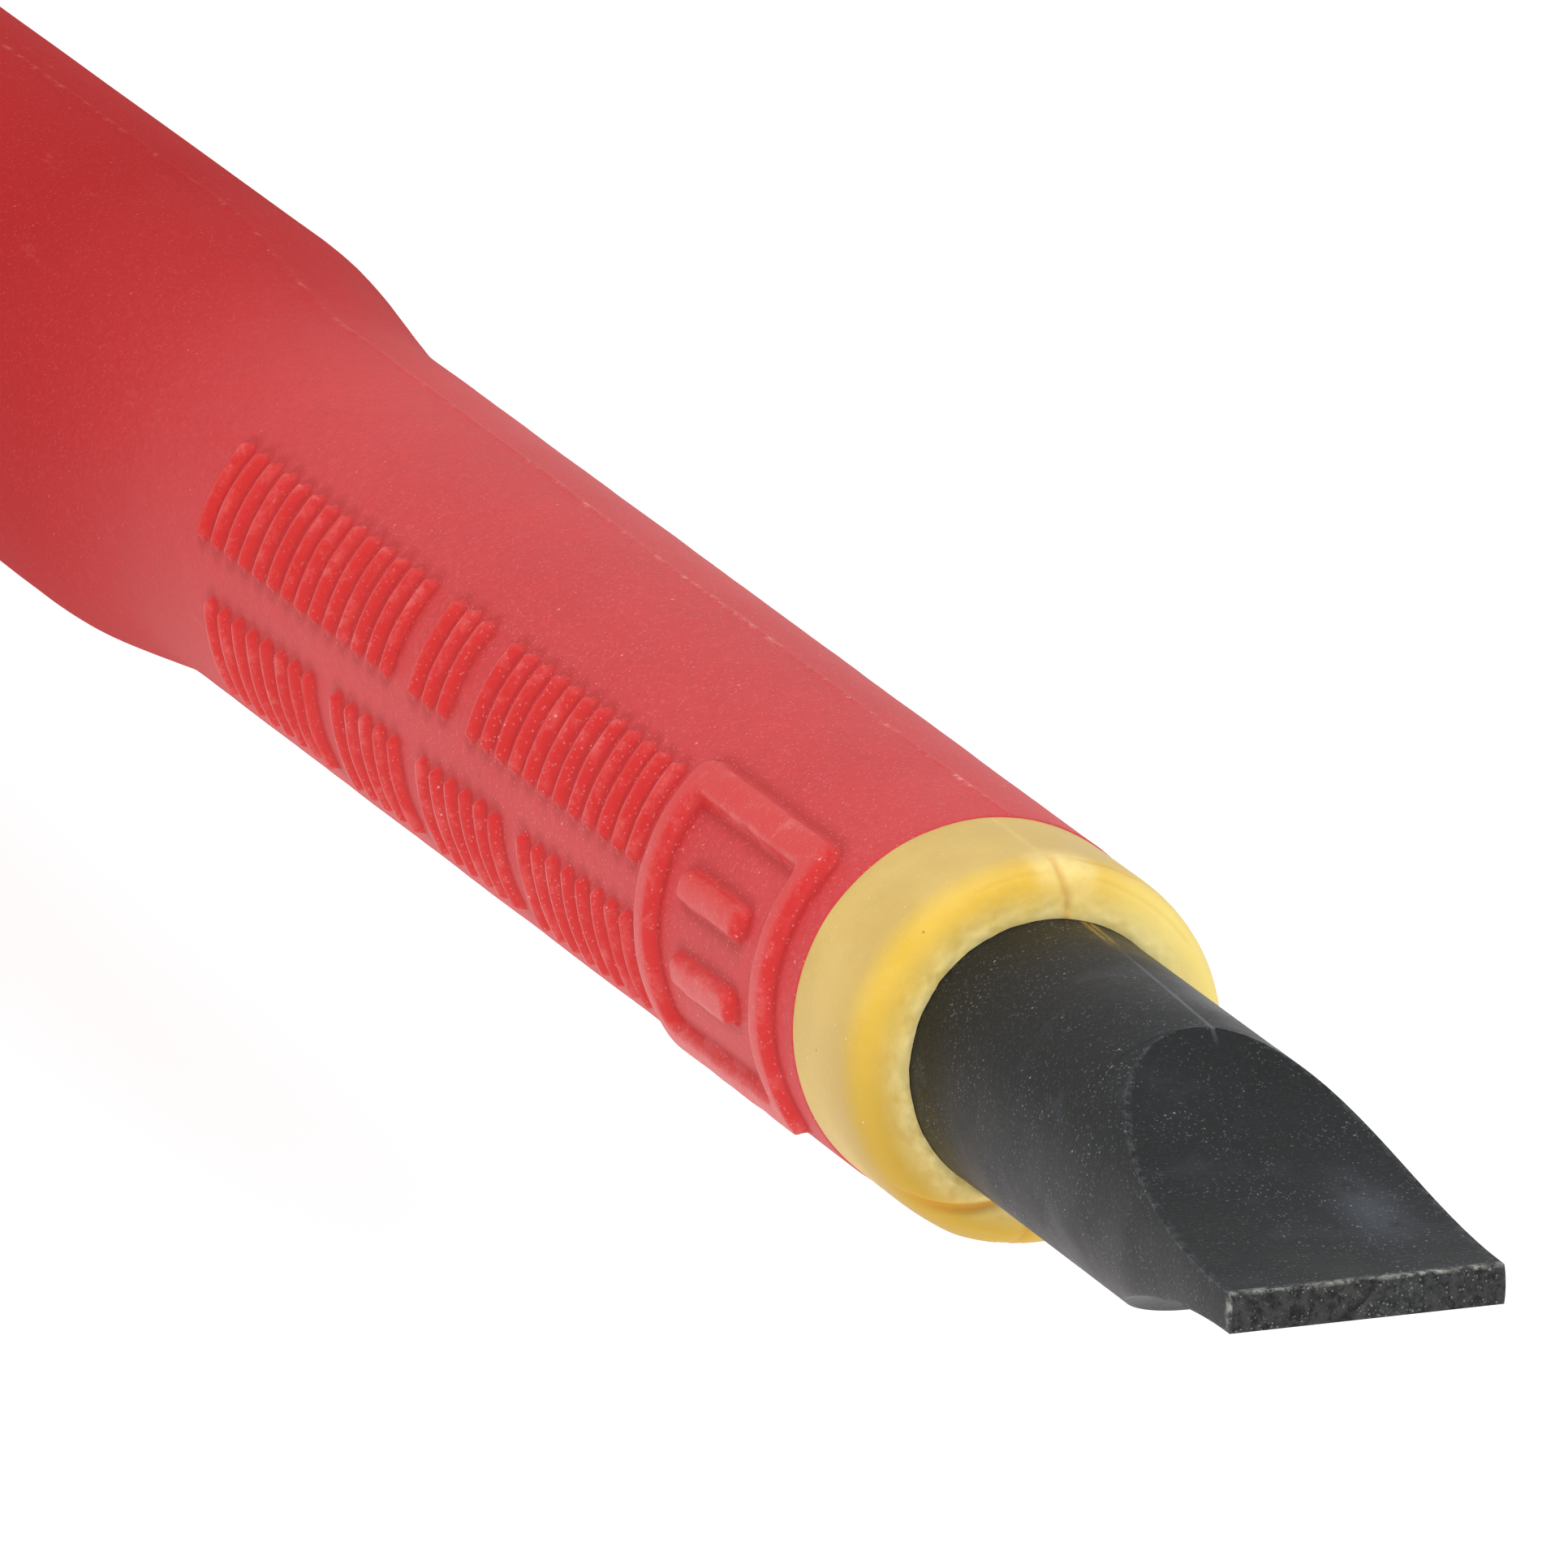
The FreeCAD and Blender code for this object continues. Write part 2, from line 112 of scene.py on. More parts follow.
def grid_faces(rows, columns, wrap, start=0):
    """Quads between the rows of a grid of points, numbered from start."""
    across = np.arange(columns if wrap else columns - 1)
    down = np.arange(rows - 1)[:, None]
    here = start + down * columns + across
    beside = start + down * columns + (across + 1) % columns
    return np.stack([here, beside, beside + columns, here + columns], -1).reshape(-1, 4)


def torus_faces(rows, columns):
    """Quads between the rows of a grid of points that closes both ways."""
    faces = grid_faces(rows, columns, True).tolist()
    last = (rows - 1) * columns
    return faces + [
        [last + i, last + (i + 1) % columns, (i + 1) % columns, i] for i in range(columns)
    ]


def piece_from(name, points, faces, merge=0.0):
    """A smooth mesh object from points in millimetres."""
    mesh = bpy.data.meshes.new(name)
    faces = [list(map(int, face)) for face in faces]
    mesh.from_pydata((np.asarray(points).reshape(-1, 3) * MM).tolist(), [], faces)
    piece = bpy.data.objects.new(name, mesh)
    bpy.context.scene.collection.objects.link(piece)
    if merge:
        join_doubles(mesh, merge)
    mesh.validate()
    mesh.polygons.foreach_set("use_smooth", [True] * len(mesh.polygons))
    return piece


def join_doubles(mesh, distance):
    """Joins points closer than this, and turns every face outwards."""
    work = bmesh.new()
    work.from_mesh(mesh)
    bmesh.ops.remove_doubles(work, verts=work.verts, dist=distance * MM)
    bmesh.ops.dissolve_degenerate(work, edges=work.edges, dist=distance * MM)
    bmesh.ops.recalc_face_normals(work, faces=work.faces)
    work.to_mesh(mesh)
    work.free()


def sharpen(piece, degrees):
    """Edges that turn by more than this stay crisp."""
    piece.data.set_sharp_from_angle(angle=math.radians(degrees))


def add_mask(piece, name, amounts):
    """A number per vertex that a material reads by name."""
    mask = piece.data.attributes.new(name, "FLOAT", "POINT")
    mask.data.foreach_set("value", np.asarray(amounts, np.float32))


def add_row_masks(piece, before, after, masks):
    """Masks for a grid of points that has this many plain rows before and after the masked ones."""
    for name, amounts in masks.items():
        add_mask(piece, name, np.pad(amounts, ((before, after), (0, 0))).ravel())


def places_mm(piece):
    """The piece's vertices in millimetres."""
    flat = np.empty(len(piece.data.vertices) * 3, np.float32)
    piece.data.vertices.foreach_get("co", flat)
    return flat.reshape(-1, 3) / MM


def smoothstep(low, high, x):
    t = np.clip((x - low) / (high - low), 0, 1)
    return t * t * (3 - 2 * t)


def smooth_curve(points, count):
    """count points on a natural cubic spline through these, spaced by the chords."""
    points = np.asarray(points, float)
    knots = np.r_[0, np.cumsum(np.linalg.norm(np.diff(points, axis=0), axis=1))]
    n = len(points)
    gaps = np.diff(knots)
    matrix = np.eye(n)
    right = np.zeros_like(points)
    for i in range(1, n - 1):
        matrix[i, i - 1: i + 2] = gaps[i - 1], 2 * (gaps[i - 1] + gaps[i]), gaps[i]
        slopes = (points[i + 1] - points[i]) / gaps[i] - (points[i] - points[i - 1]) / gaps[i - 1]
        right[i] = 6 * slopes
    bends = np.linalg.solve(matrix, right)
    at = np.linspace(0, knots[-1], count)
    i = np.clip(np.searchsorted(knots, at) - 1, 0, n - 2)
    gap = gaps[i][:, None]
    a = ((knots[i + 1] - at) / gaps[i])[:, None]
    b = 1 - a
    return (
        a * points[i] + b * points[i + 1]
        + ((a ** 3 - a) * bends[i] + (b ** 3 - b) * bends[i + 1]) * gap ** 2 / 6
    )


def ripple(points, pitch, seed=0.0):
    """Smooth noise between about -1 and 1 at each point, with this pitch in millimetres."""
    flat = np.asarray(points, float).reshape(-1, 3) / pitch + seed
    values = np.array([noise.noise(Vector(p)) for p in flat.tolist()])
    return values.reshape(np.shape(points)[:-1])


def finish_piece(piece, material, slot, *nodes):
    """Gives a piece its material and its body, and hides the CAD nodes it stands for; the slot is not used.
    """
    piece.data.materials.clear()
    piece.data.materials.append(material)
    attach(piece, "root")
    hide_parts(*nodes)
    return piece


# ---------------------------------------------------------------- material helpers

class Tree:
    """A material's nodes. Coordinates are the row frame's, in millimetres."""

    def __init__(self, name):
        self.material = bpy.data.materials.new(name)
        self.material.use_nodes = True
        self.nodes = self.material.node_tree.nodes
        self.links = self.material.node_tree.links
        self.shader = self.nodes["Principled BSDF"]
        where = self.add("TexCoord", {}).outputs["Object"]
        scaled = self.add("VectorMath", {0: where, "Scale": 1 / MM}, operation="SCALE")
        self.place = scaled.outputs[0]

    def add(self, kind, inputs, **settings):
        """A node with these settings, and a link or a value for each of its named inputs."""
        node = self.nodes.new("ShaderNode" + kind)
        for name, value in settings.items():
            setattr(node, name, value)
        for socket, value in inputs.items():
            self.feed(node.inputs[socket], value)
        return node

    def feed(self, socket, value):
        """Links an output into a socket, or sets its number or colour."""
        if isinstance(value, bpy.types.NodeSocket):
            self.links.new(value, socket)
        elif isinstance(value, tuple) and len(value) == 3 and len(socket.default_value) == 4:
            socket.default_value = (*value, 1)
        else:
            socket.default_value = value

    def stretched(self, x, y, z):
        """The coordinates multiplied along each axis, which draws a texture out."""
        return self.add("VectorMath", {0: self.place, 1: (x, y, z)}, operation="MULTIPLY").outputs[0]

    def noise(self, per_mm, detail, roughness, place=None):
        inputs = {"Vector": place or self.place, "Scale": per_mm, "Detail": detail, "Roughness": roughness}
        return self.add("TexNoise", inputs).outputs["Fac"]

    def cells(self, per_mm):
        """(distance to the nearest cell's centre, in cells; that cell's random number)."""
        node = self.add("TexVoronoi", {"Vector": self.place, "Scale": per_mm, "Randomness": 1.0})
        split = self.add("SeparateColor", {0: node.outputs["Color"]})
        return node.outputs["Distance"], split.outputs[0]

    def spread(self, value, low, high, out_low=0.0, out_high=1.0):
        """value from low..high to out_low..out_high, smoothly and clamped."""
        inputs = {
            "Value": value, "From Min": low, "From Max": high, "To Min": out_low, "To Max": out_high,
        }
        return self.add("MapRange", inputs, interpolation_type="SMOOTHSTEP").outputs["Result"]

    def calc(self, operation, a, b):
        return self.add("Math", {0: a, 1: b}, operation=operation).outputs[0]

    def mix(self, amount, a, b):
        return self.add("Mix", {0: amount, 6: a, 7: b}, data_type="RGBA").outputs[2]

    def tint(self, color, tint, *amounts):
        """The colour with this share of the tint, the amounts multiplied."""
        return self.mix(self.product(*amounts), color, tint)

    def mask(self, name):
        return self.add("Attribute", {}, attribute_name=name).outputs["Fac"]

    def axis(self, letter):
        return self.add("SeparateXYZ", {0: self.place}).outputs[letter]

    def product(self, first, *others):
        for other in others:
            first = self.calc("MULTIPLY", first, other)
        return first

    def specks(self, per_mm, size, share):
        """Round specks: a share of the cells, each speck this part of a cell across."""
        distance, chance = self.cells(per_mm)
        dot = self.spread(distance, size * 0.5, size, 1, 0)
        return self.product(dot, self.spread(chance, 1 - share, 1 - share + 0.01))

    def bump(self, height, millimetres, below=None):
        """A bump whose full height is this many millimetres, on top of another bump."""
        inputs = {"Height": height, "Strength": 1.0, "Distance": millimetres * MM}
        if below:
            inputs["Normal"] = below
        return self.add("Bump", inputs).outputs["Normal"]

    def finish(self, color, roughness, normal=None, **settings):
        self.feed(self.shader.inputs["Base Color"], color)
        self.feed(self.shader.inputs["Roughness"], roughness)
        if normal:
            self.links.new(normal, self.shader.inputs["Normal"])
        for name, value in settings.items():
            self.shader.inputs[name.replace("_", " ")].default_value = value
        return self.material


# ---------------------------------------------------------------- materials

def black_steel():
    """Semi-matte black oxide: dusty and smudged, with a drawn line along the top of the shank."""
    tree = Tree("black_steel")
    clouds = tree.noise(0.55, 4, 0.6)
    grain = tree.noise(15, 3, 0.65)
    color = tree.mix(tree.spread(clouds, 0.3, 0.75), (0.009, 0.0095, 0.010), (0.0145, 0.0155, 0.017))
    color = tree.mix(tree.spread(grain, 0.45, 0.8, 0, 0.6), color, (0.038, 0.040, 0.041))
    haze = tree.spread(tree.noise(0.75, 3, 0.6, tree.stretched(1, 0.7, 1)), 0.56, 0.72, 0, 0.55)
    color = tree.mix(haze, color, (0.030, 0.034, 0.043))
    smudge = tree.product(tree.mask("smudge"), tree.spread(tree.noise(1.6, 3, 0.6), 0.30, 0.46), 0.9)
    color = tree.mix(smudge, color, (0.070, 0.078, 0.096))
    dust_patches = tree.spread(tree.noise(0.9, 3, 0.6), 0.35, 0.7, 0.15, 1)
    dust = ((4.0, 0.12, 0.3, 0.7), (9.0, 0.22, 0.3, 0.45), (16.0, 0.34, 0.4, 0.3))
    for per_mm, size, share, strength in dust:
        speck = tree.product(tree.specks(per_mm, size, share), dust_patches, strength)
        color = tree.mix(speck, color, (0.42, 0.44, 0.45))

    # A faint, slightly slanting line left by drawing the bar, from the mouth to the grinding.
    line_angle, line_start, turn_per_mm = math.radians(97.5), 7.5, 0.025
    along, across, up = (tree.axis(letter) for letter in "XYZ")
    slant = tree.calc("MULTIPLY", tree.calc("SUBTRACT", along, line_start), turn_per_mm)
    angle = tree.calc("SUBTRACT", tree.calc("ARCTAN2", up, across), slant)
    off_line = tree.calc("ABSOLUTE", tree.calc("SUBTRACT", angle, line_angle), 0.0)
    line = tree.product(
        tree.spread(off_line, 0.008, 0.022, 1, 0),
        tree.spread(along, 7.2, 7.8),
        tree.spread(along, MOUTH - 1.2, MOUTH - 3.6),
        tree.spread(tree.noise(1.5, 3, 0.7), 0.3, 0.6, 0.25, 0.75),
    )
    color = tree.mix(line, color, (0.11, 0.11, 0.125))
    # Yellow plastic smeared along that line where it leaves the mouth.
    smear = tree.product(
        tree.spread(off_line, 0.01, 0.08, 1, 0),
        tree.spread(along, MOUTH - 1.9, MOUTH - 0.9),
        tree.spread(tree.noise(4.0, 4, 0.7, tree.stretched(0.4, 2, 2)), 0.38, 0.56),
    )
    color = tree.mix(smear, color, (0.30, 0.19, 0.03))

    color = tree.tint(color, (0.024, 0.026, 0.026), tree.mask("ground"), 0.3)
    broken = tree.spread(tree.noise(5, 4, 0.75), 0.40, 0.66)
    color = tree.tint(color, (0.16, 0.17, 0.18), tree.mask("run_out"), broken, 0.35)
    color = tree.tint(color, (0.42, 0.42, 0.39), tree.mask("edge"), broken)
    pits = tree.spread(tree.noise(4.5, 5, 0.8), 0.36, 0.62)
    color = tree.tint(color, (0.072, 0.074, 0.069), tree.mask("end_face"), pits, 0.6)
    end_specks = tree.product(tree.specks(11.0, 0.24, 0.25), tree.mask("end_face"), 0.35)
    color = tree.mix(end_specks, color, (0.4, 0.4, 0.38))
    rough = tree.spread(clouds, 0.25, 0.8, 0.36, 0.5)
    cross_lines = tree.noise(3.2, 2, 0.6, tree.stretched(5, 0.4, 5))
    normal = tree.bump(tree.product(cross_lines, tree.mask("ground")), 0.005)
    normal = tree.bump(grain, 0.005, normal)
    return tree.finish(color, rough, normal, IOR=1.19)


def red_layer():
    """Soft matte red moulding: a pale bloom with fine grain, rubbed off the raised marks."""
    tree = Tree("red_insulation")
    clouds = tree.noise(0.18, 3, 0.6)
    mottle = tree.noise(1.6, 4, 0.65)
    grain = tree.noise(8, 5, 0.8)
    color = tree.mix(tree.spread(clouds, 0.3, 0.7), (0.53, 0.030, 0.033), (0.575, 0.038, 0.041))
    color = tree.mix(tree.spread(mottle, 0.42, 0.72, 0, 0.4), color, (0.60, 0.024, 0.025))
    color = tree.mix(tree.spread(grain, 0.48, 0.75, 0, 0.7), color, (0.67, 0.085, 0.09))
    color = tree.mix(tree.spread(grain, 0.48, 0.28, 0, 0.6), color, (0.40, 0.012, 0.014))
    # Painted shade: the red darkens towards the root, and the roughness and sheen below follow the same mask.
    root_shade = tree.spread(tree.axis("X"), 42, 60, 0, 0.8)
    color = tree.mix(root_shade, color, (0.355, 0.013, 0.013))
    top, wall = tree.mask("raised"), tree.mask("wall")
    color = tree.tint(color, (0.62, 0.034, 0.030), top, 0.8)
    # Painted shading: the marks' walls are painted a deeper, saturated red and the foot round them a darker
    # red.
    color = tree.tint(color, (0.60, 0.012, 0.010), wall, 0.9)
    color = tree.tint(color, (0.42, 0.010, 0.010), tree.mask("hollow"), 0.7)
    rubbed = tree.product(top, tree.spread(tree.noise(2.0, 5, 0.75), 0.56, 0.72, 0, 0.4))
    color = tree.mix(rubbed, color, (0.74, 0.20, 0.18))
    worn = tree.product(tree.mask("rim"), tree.spread(tree.noise(1.6, 5, 0.75), 0.48, 0.66, 0, 0.5))
    color = tree.mix(worn, color, (0.74, 0.17, 0.16))
    dusty = tree.spread(tree.axis("X"), 28, 50, 0.7, 0.2)
    for per_mm, size, share, tint in (
        (2.6, 0.08, 0.30, (0.80, 0.42, 0.42)),
        (8.0, 0.20, 0.20, (0.70, 0.20, 0.20)),
        (3.0, 0.10, 0.15, (0.34, 0.004, 0.006)),
        (14.0, 0.34, 0.35, (0.66, 0.14, 0.14)),
    ):
        color = tree.tint(color, tint, tree.specks(per_mm, size, share), dusty)
    seam = tree.product(tree.mask("seam"), tree.spread(tree.noise(2.6, 5, 0.8), 0.5, 0.66), dusty)
    color = tree.mix(seam, color, (0.82, 0.36, 0.34))
    scuffs = tree.spread(tree.noise(2.2, 5, 0.75, tree.stretched(0.35, 1, 1)), 0.6, 0.8, 0, 0.2)
    color = tree.mix(scuffs, color, (0.70, 0.18, 0.18))
    rough = tree.calc("SUBTRACT", tree.spread(grain, 0.3, 0.8, 0.5, 0.62), tree.product(top, 0.16))
    rough = tree.calc("ADD", rough, tree.product(root_shade, 0.4))
    normal = tree.bump(grain, 0.010)
    normal = tree.bump(mottle, 0.015, normal)
    sheen = tree.calc("SUBTRACT", 0.5, tree.product(root_shade, 0.45))
    tree.feed(tree.shader.inputs["Specular IOR Level"], sheen)
    return tree.finish(
        color, rough, normal, IOR=1.38, Subsurface_Weight=0.1, Subsurface_Scale=0.0005,
        Subsurface_Radius=(1.0, 0.25, 0.15),
    )


def yellow_layer():
    """Soft yellow moulding: a pale band, a rounded shoulder of richer colour and a scraped mouth."""
    tree = Tree("yellow_insulation")
    clouds = tree.noise(0.7, 3, 0.6)
    grain = tree.noise(10, 4, 0.7)
    band = tree.mix(tree.spread(clouds, 0.3, 0.7), (0.60, 0.40, 0.095), (0.655, 0.45, 0.125))
    rich = tree.mix(tree.spread(clouds, 0.3, 0.7), (0.74, 0.47, 0.040), (0.80, 0.53, 0.065))
    color = tree.mix(tree.mask("shoulder"), band, rich)
    color = tree.mix(tree.spread(grain, 0.5, 0.8, 0, 0.3), color, (0.74, 0.58, 0.24))
    # Painted light and shade: one side of the shoulder is painted paler and the lower side of the ring
    # darker.
    color = tree.tint(color, (0.93, 0.75, 0.23), tree.mask("painted_light_side"), 0.85)
    color = tree.tint(color, (0.50, 0.30, 0.020), tree.mask("painted_shade_low"), 0.85)
    pale = tree.product(tree.mask("trimmed"), tree.spread(tree.noise(2.6, 3, 0.6), 0.25, 0.65, 0.45, 0.85))
    color = tree.mix(pale, color, (0.94, 0.79, 0.36))
    # Painted shade: the creases and dents are painted a darker gold.
    color = tree.tint(color, (0.60, 0.29, 0.02), tree.mask("crease"), 0.8)
    color = tree.tint(color, (0.10, 0.07, 0.03), tree.specks(2.4, 0.1, 0.06), 0.8)
    color = tree.tint(color, (0.88, 0.78, 0.55), tree.specks(6.0, 0.14, 0.06), 0.6)
    normal = tree.bump(grain, 0.008)
    normal = tree.bump(tree.noise(2.4, 3, 0.6), 0.015, normal)
    return tree.finish(
        color, tree.spread(clouds, 0.2, 0.8, 0.44, 0.58), normal, IOR=1.46,
        Subsurface_Weight=0.15, Subsurface_Scale=0.0006, Subsurface_Radius=(1.0, 0.6, 0.2),
    )


def hard_red():
    """The handle's hard shell and cap: satin, spark-eroded grain, rubbed on its edges."""
    tree = Tree("red_shell")
    clouds = tree.noise(0.05, 3, 0.5)
    grain = tree.noise(5, 3, 0.6)
    color = tree.mix(tree.spread(clouds, 0.3, 0.7), (0.39, 0.009, 0.009), (0.44, 0.013, 0.012))
    color = tree.mix(tree.spread(grain, 0.5, 0.8, 0, 0.3), color, (0.50, 0.035, 0.032))
    rubbed = tree.product(tree.mask("rubbed"), tree.spread(tree.noise(0.8, 5, 0.75), 0.4, 0.7))
    color = tree.tint(color, (0.52, 0.05, 0.045), rubbed, 0.3)
    scratches = tree.spread(tree.noise(1.2, 6, 0.8, tree.stretched(0.08, 1, 1)), 0.64, 0.75, 0, 0.2)
    color = tree.mix(scratches, color, (0.58, 0.12, 0.11))
    rough = tree.calc("SUBTRACT", tree.spread(grain, 0.2, 0.8, 0.34, 0.48), tree.product(rubbed, 0.1))
    return tree.finish(color, rough, tree.bump(grain, 0.02), IOR=1.43)


def soft_grip():
    """Yellow soft rubber: matte, finely pebbled, with grime in the valleys between its ribs."""
    tree = Tree("grip_soft")
    clouds = tree.noise(0.12, 3, 0.6)
    pebbles, _ = tree.cells(3.2)
    color = tree.mix(tree.spread(clouds, 0.3, 0.7), (0.60, 0.33, 0.028), (0.66, 0.39, 0.05))
    valley = tree.product(tree.mask("valley"), tree.spread(tree.noise(0.6, 4, 0.7), 0.3, 0.7, 0.3, 0.9))
    color = tree.tint(color, (0.36, 0.16, 0.015), valley, 0.45)
    color = tree.mix(tree.spread(tree.noise(0.5, 4, 0.7), 0.6, 0.78, 0, 0.25), color, (0.55, 0.33, 0.1))
    normal = tree.bump(tree.spread(pebbles, 0, 0.6, 1, 0), 0.03)
    return tree.finish(color, tree.spread(clouds, 0.2, 0.8, 0.62, 0.78), normal, IOR=1.45)


def marker_yellow():
    """The hard yellow disc in the butt."""
    tree = Tree("marker_plastic")
    grain = tree.noise(4, 3, 0.6)
    color = tree.mix(tree.spread(grain, 0.35, 0.75), (0.60, 0.34, 0.035), (0.66, 0.40, 0.06))
    scuffs = tree.spread(tree.noise(1.5, 5, 0.75, tree.stretched(1, 0.3, 1)), 0.62, 0.78, 0, 0.35)
    color = tree.mix(scuffs, color, (0.6, 0.42, 0.18))
    return tree.finish(color, tree.spread(grain, 0.2, 0.8, 0.38, 0.5), tree.bump(grain, 0.015), IOR=1.5)


def hidden_core():
    """Hard black plastic of the core, sealed inside the handle."""
    tree = Tree("core_plastic")
    grain = tree.noise(2, 3, 0.5)
    color = tree.mix(grain, (0.03, 0.03, 0.033), (0.055, 0.055, 0.06))
    return tree.finish(color, tree.spread(grain, 0.2, 0.8, 0.3, 0.45), tree.bump(grain, 0.02))


def pale_floor():
    """A white light table, which leaves little shadow under the tool."""
    tree = Tree("pale_floor")
    color = tree.mix(tree.noise(0.02, 2, 0.5), (0.52, 0.52, 0.52), (0.54, 0.54, 0.54))
    return tree.finish(color, 0.9, Emission_Color=(1, 1, 1, 1), Emission_Strength=0.60)


# ---------------------------------------------------------------- blade

def ground_height(x):
    """Half the thickness that the grinding wheels leave at a station."""
    inside = np.clip(WHEEL_RADIUS ** 2 - np.asarray(x, float) ** 2, 0, None)
    return TIP_HALF_THICKNESS + WHEEL_RADIUS - np.sqrt(inside)


def ground_end():
    """The station where the grinding runs out of the shank."""
    rise = SHANK_RADIUS - TIP_HALF_THICKNESS
    return math.sqrt(WHEEL_RADIUS ** 2 - (WHEEL_RADIUS - rise) ** 2)


def blade_ring(x, across=28, side=30):
    """One section: flat top, round side, flat bottom, round side, in Y and Z."""
    height = float(min(ground_height(x), SHANK_RADIUS)) if x < ground_end() else SHANK_RADIUS
    corner = math.asin(height / SHANK_RADIUS)
    half = SHANK_RADIUS * math.cos(corner)
    right = np.linspace(-corner, corner, side, endpoint=False)
    flat = np.linspace(half, -half, across, endpoint=False)
    arc_right = np.c_[SHANK_RADIUS * np.cos(right), SHANK_RADIUS * np.sin(right)]
    top = np.c_[flat, np.full(across, height)]
    ring = np.r_[arc_right, top, -arc_right, -top]
    return np.c_[np.full(len(ring), x), ring]


def blade_rings():
    """Sections of the shank from its inset end face to the cone at its hidden end."""
    run_out = ground_end()
    ease = 1 - (1 - np.linspace(0, 1, 70)) ** 1.6  # rows lie closer towards the run-out
    behind = run_out + np.linspace(0.1, 1, 60) ** 1.5 * (15.5 - run_out)
    stations = np.r_[run_out * ease, behind, 60, SHANK_END - BUTT_TAPER]
    rings = np.array([blade_ring(x) for x in stations])
    end_face = rings[0] * [1, 0.975, 0.8]
    butt = rings[-1] * [1, 0.68, 0.68] + [BUTT_TAPER, 0, 0]
    return np.concatenate([end_face[None], rings, butt[None]])


def make_blade():
    """Shank with its hollow-ground tip and its hidden end."""
    rings = blade_rings()
    rows, columns = rings.shape[:2]
    faces = grid_faces(rows, columns, True).tolist()
    faces += [list(range(columns))[::-1], [(rows - 1) * columns + i for i in range(columns)]]
    blade = piece_from("blade_steel", rings, faces, merge=0.0005)
    sharpen(blade, 14)
    soften_edges(blade, 0.045, 14)
    add_blade_masks(blade)
    return blade


def add_blade_masks(blade):
    """Where the blade is ground, worn bright on its edges, or smudged."""
    x, y, z = places_mm(blade).T
    height = ground_height(x)
    on_ground = (x < ground_end() + 0.05) & (np.abs(z) > height - 0.04)
    to_corner = np.abs(np.abs(y) - np.sqrt(np.clip(SHANK_RADIUS ** 2 - height ** 2, 0, None)))
    worn = (z > TIP_HALF_THICKNESS - 0.04) | (y > SHANK_RADIUS - 0.065)
    add_mask(blade, "run_out", on_ground * (1 - smoothstep(0.01, 0.06, to_corner)))
    add_mask(blade, "edge", worn & (x < 0.06) & (x > -0.001))
    add_mask(blade, "smudge", np.exp(-((x - 2.7) / 0.9) ** 2 - ((y + 1.15) / 0.5) ** 2) * (z > 0))
    add_mask(blade, "ground", on_ground & (np.hypot(y, z) < SHANK_RADIUS - 0.02))
    add_mask(blade, "end_face", x < 0.02)


def soften_edges(piece, width, degrees):
    """Rounds every edge that turns by more than this, in the mesh itself."""
    rounding = piece.modifiers.new("edge_round", "BEVEL")
    rounding.width = width * MM
    rounding.segments = 3
    rounding.limit_method = "ANGLE"
    rounding.angle_limit = math.radians(degrees)
    shaped = piece.evaluated_get(bpy.context.evaluated_depsgraph_get())
    mesh = bpy.data.meshes.new_from_object(shaped)
    piece.modifiers.clear()
    piece.data = mesh


def make_wings():
    """The flattened wings on the hidden end of the shank."""
    front, rear = WINGS
    corners = [
        (x, y, z)
        for x in (front, rear)
        for y, z in (
            (-WING_HALF_THICKNESS, -WING_HALF_SPAN), (WING_HALF_THICKNESS, -WING_HALF_SPAN),
            (WING_HALF_THICKNESS, WING_HALF_SPAN), (-WING_HALF_THICKNESS, WING_HALF_SPAN),
        )
    ]
    faces = [(3, 2, 1, 0), (4, 5, 6, 7), (0, 1, 5, 4), (1, 2, 6, 5), (2, 3, 7, 6), (3, 0, 4, 7)]
    wings = piece_from("blade_wings", corners, faces)
    soften_edges(wings, 0.4, 30)
    for name in ("run_out", "edge", "smudge", "ground", "end_face"):
        add_mask(wings, name, np.zeros(len(wings.data.vertices)))
    return wings


# ---------------------------------------------------------------- insulation

def turned_rows(profile, angles):
    """Rings of points around the tool, one for each (station, radius) of a profile."""
    profile = np.asarray(profile, float)
    return around(profile[:, :1], profile[:, 1:], np.asarray(angles)[None])


def profile_normals(profile):
    """Outward directions of a profile of (station, radius), taken along its run."""
    along = np.gradient(np.asarray(profile, float), axis=0)
    normal = np.c_[-along[:, 1], along[:, 0]]
    return normal / np.maximum(np.linalg.norm(normal, axis=1), 1e-9)[:, None]


def ring_profile(count):
    """The bare yellow ring: flat front face, tight shoulder and a straight band."""
    return smooth_curve(
        [
            (14.36, 2.386), (14.35, 2.46), (14.36, 2.62), (14.38, 2.78), (14.43, 2.94), (14.53, 3.09),
            (14.70, 3.21), (14.94, 3.28), (15.3, 3.305), (15.9, 3.31), (16.5, 3.31), (17.0, 3.305),
            (17.26, 3.30),
        ],
        count,
    )


def angle_gap(angles, centre):
    """Degrees from a centre angle, the short way round."""
    return (np.asarray(angles) - centre + 180) % 360 - 180


def groove(gap_mm, width):
    """A rounded notch of depth 1 and this half width."""
    return np.exp(-((gap_mm / width) ** 2))


def window(angles, start, stop, fade=6.0):
    """1 between two angles around the tool, falling to 0 over the fade on both sides."""
    middle, half = (start + stop) / 2, (stop - start) / 2
    return 1 - smoothstep(half - fade, half, np.abs(angle_gap(angles, middle)))


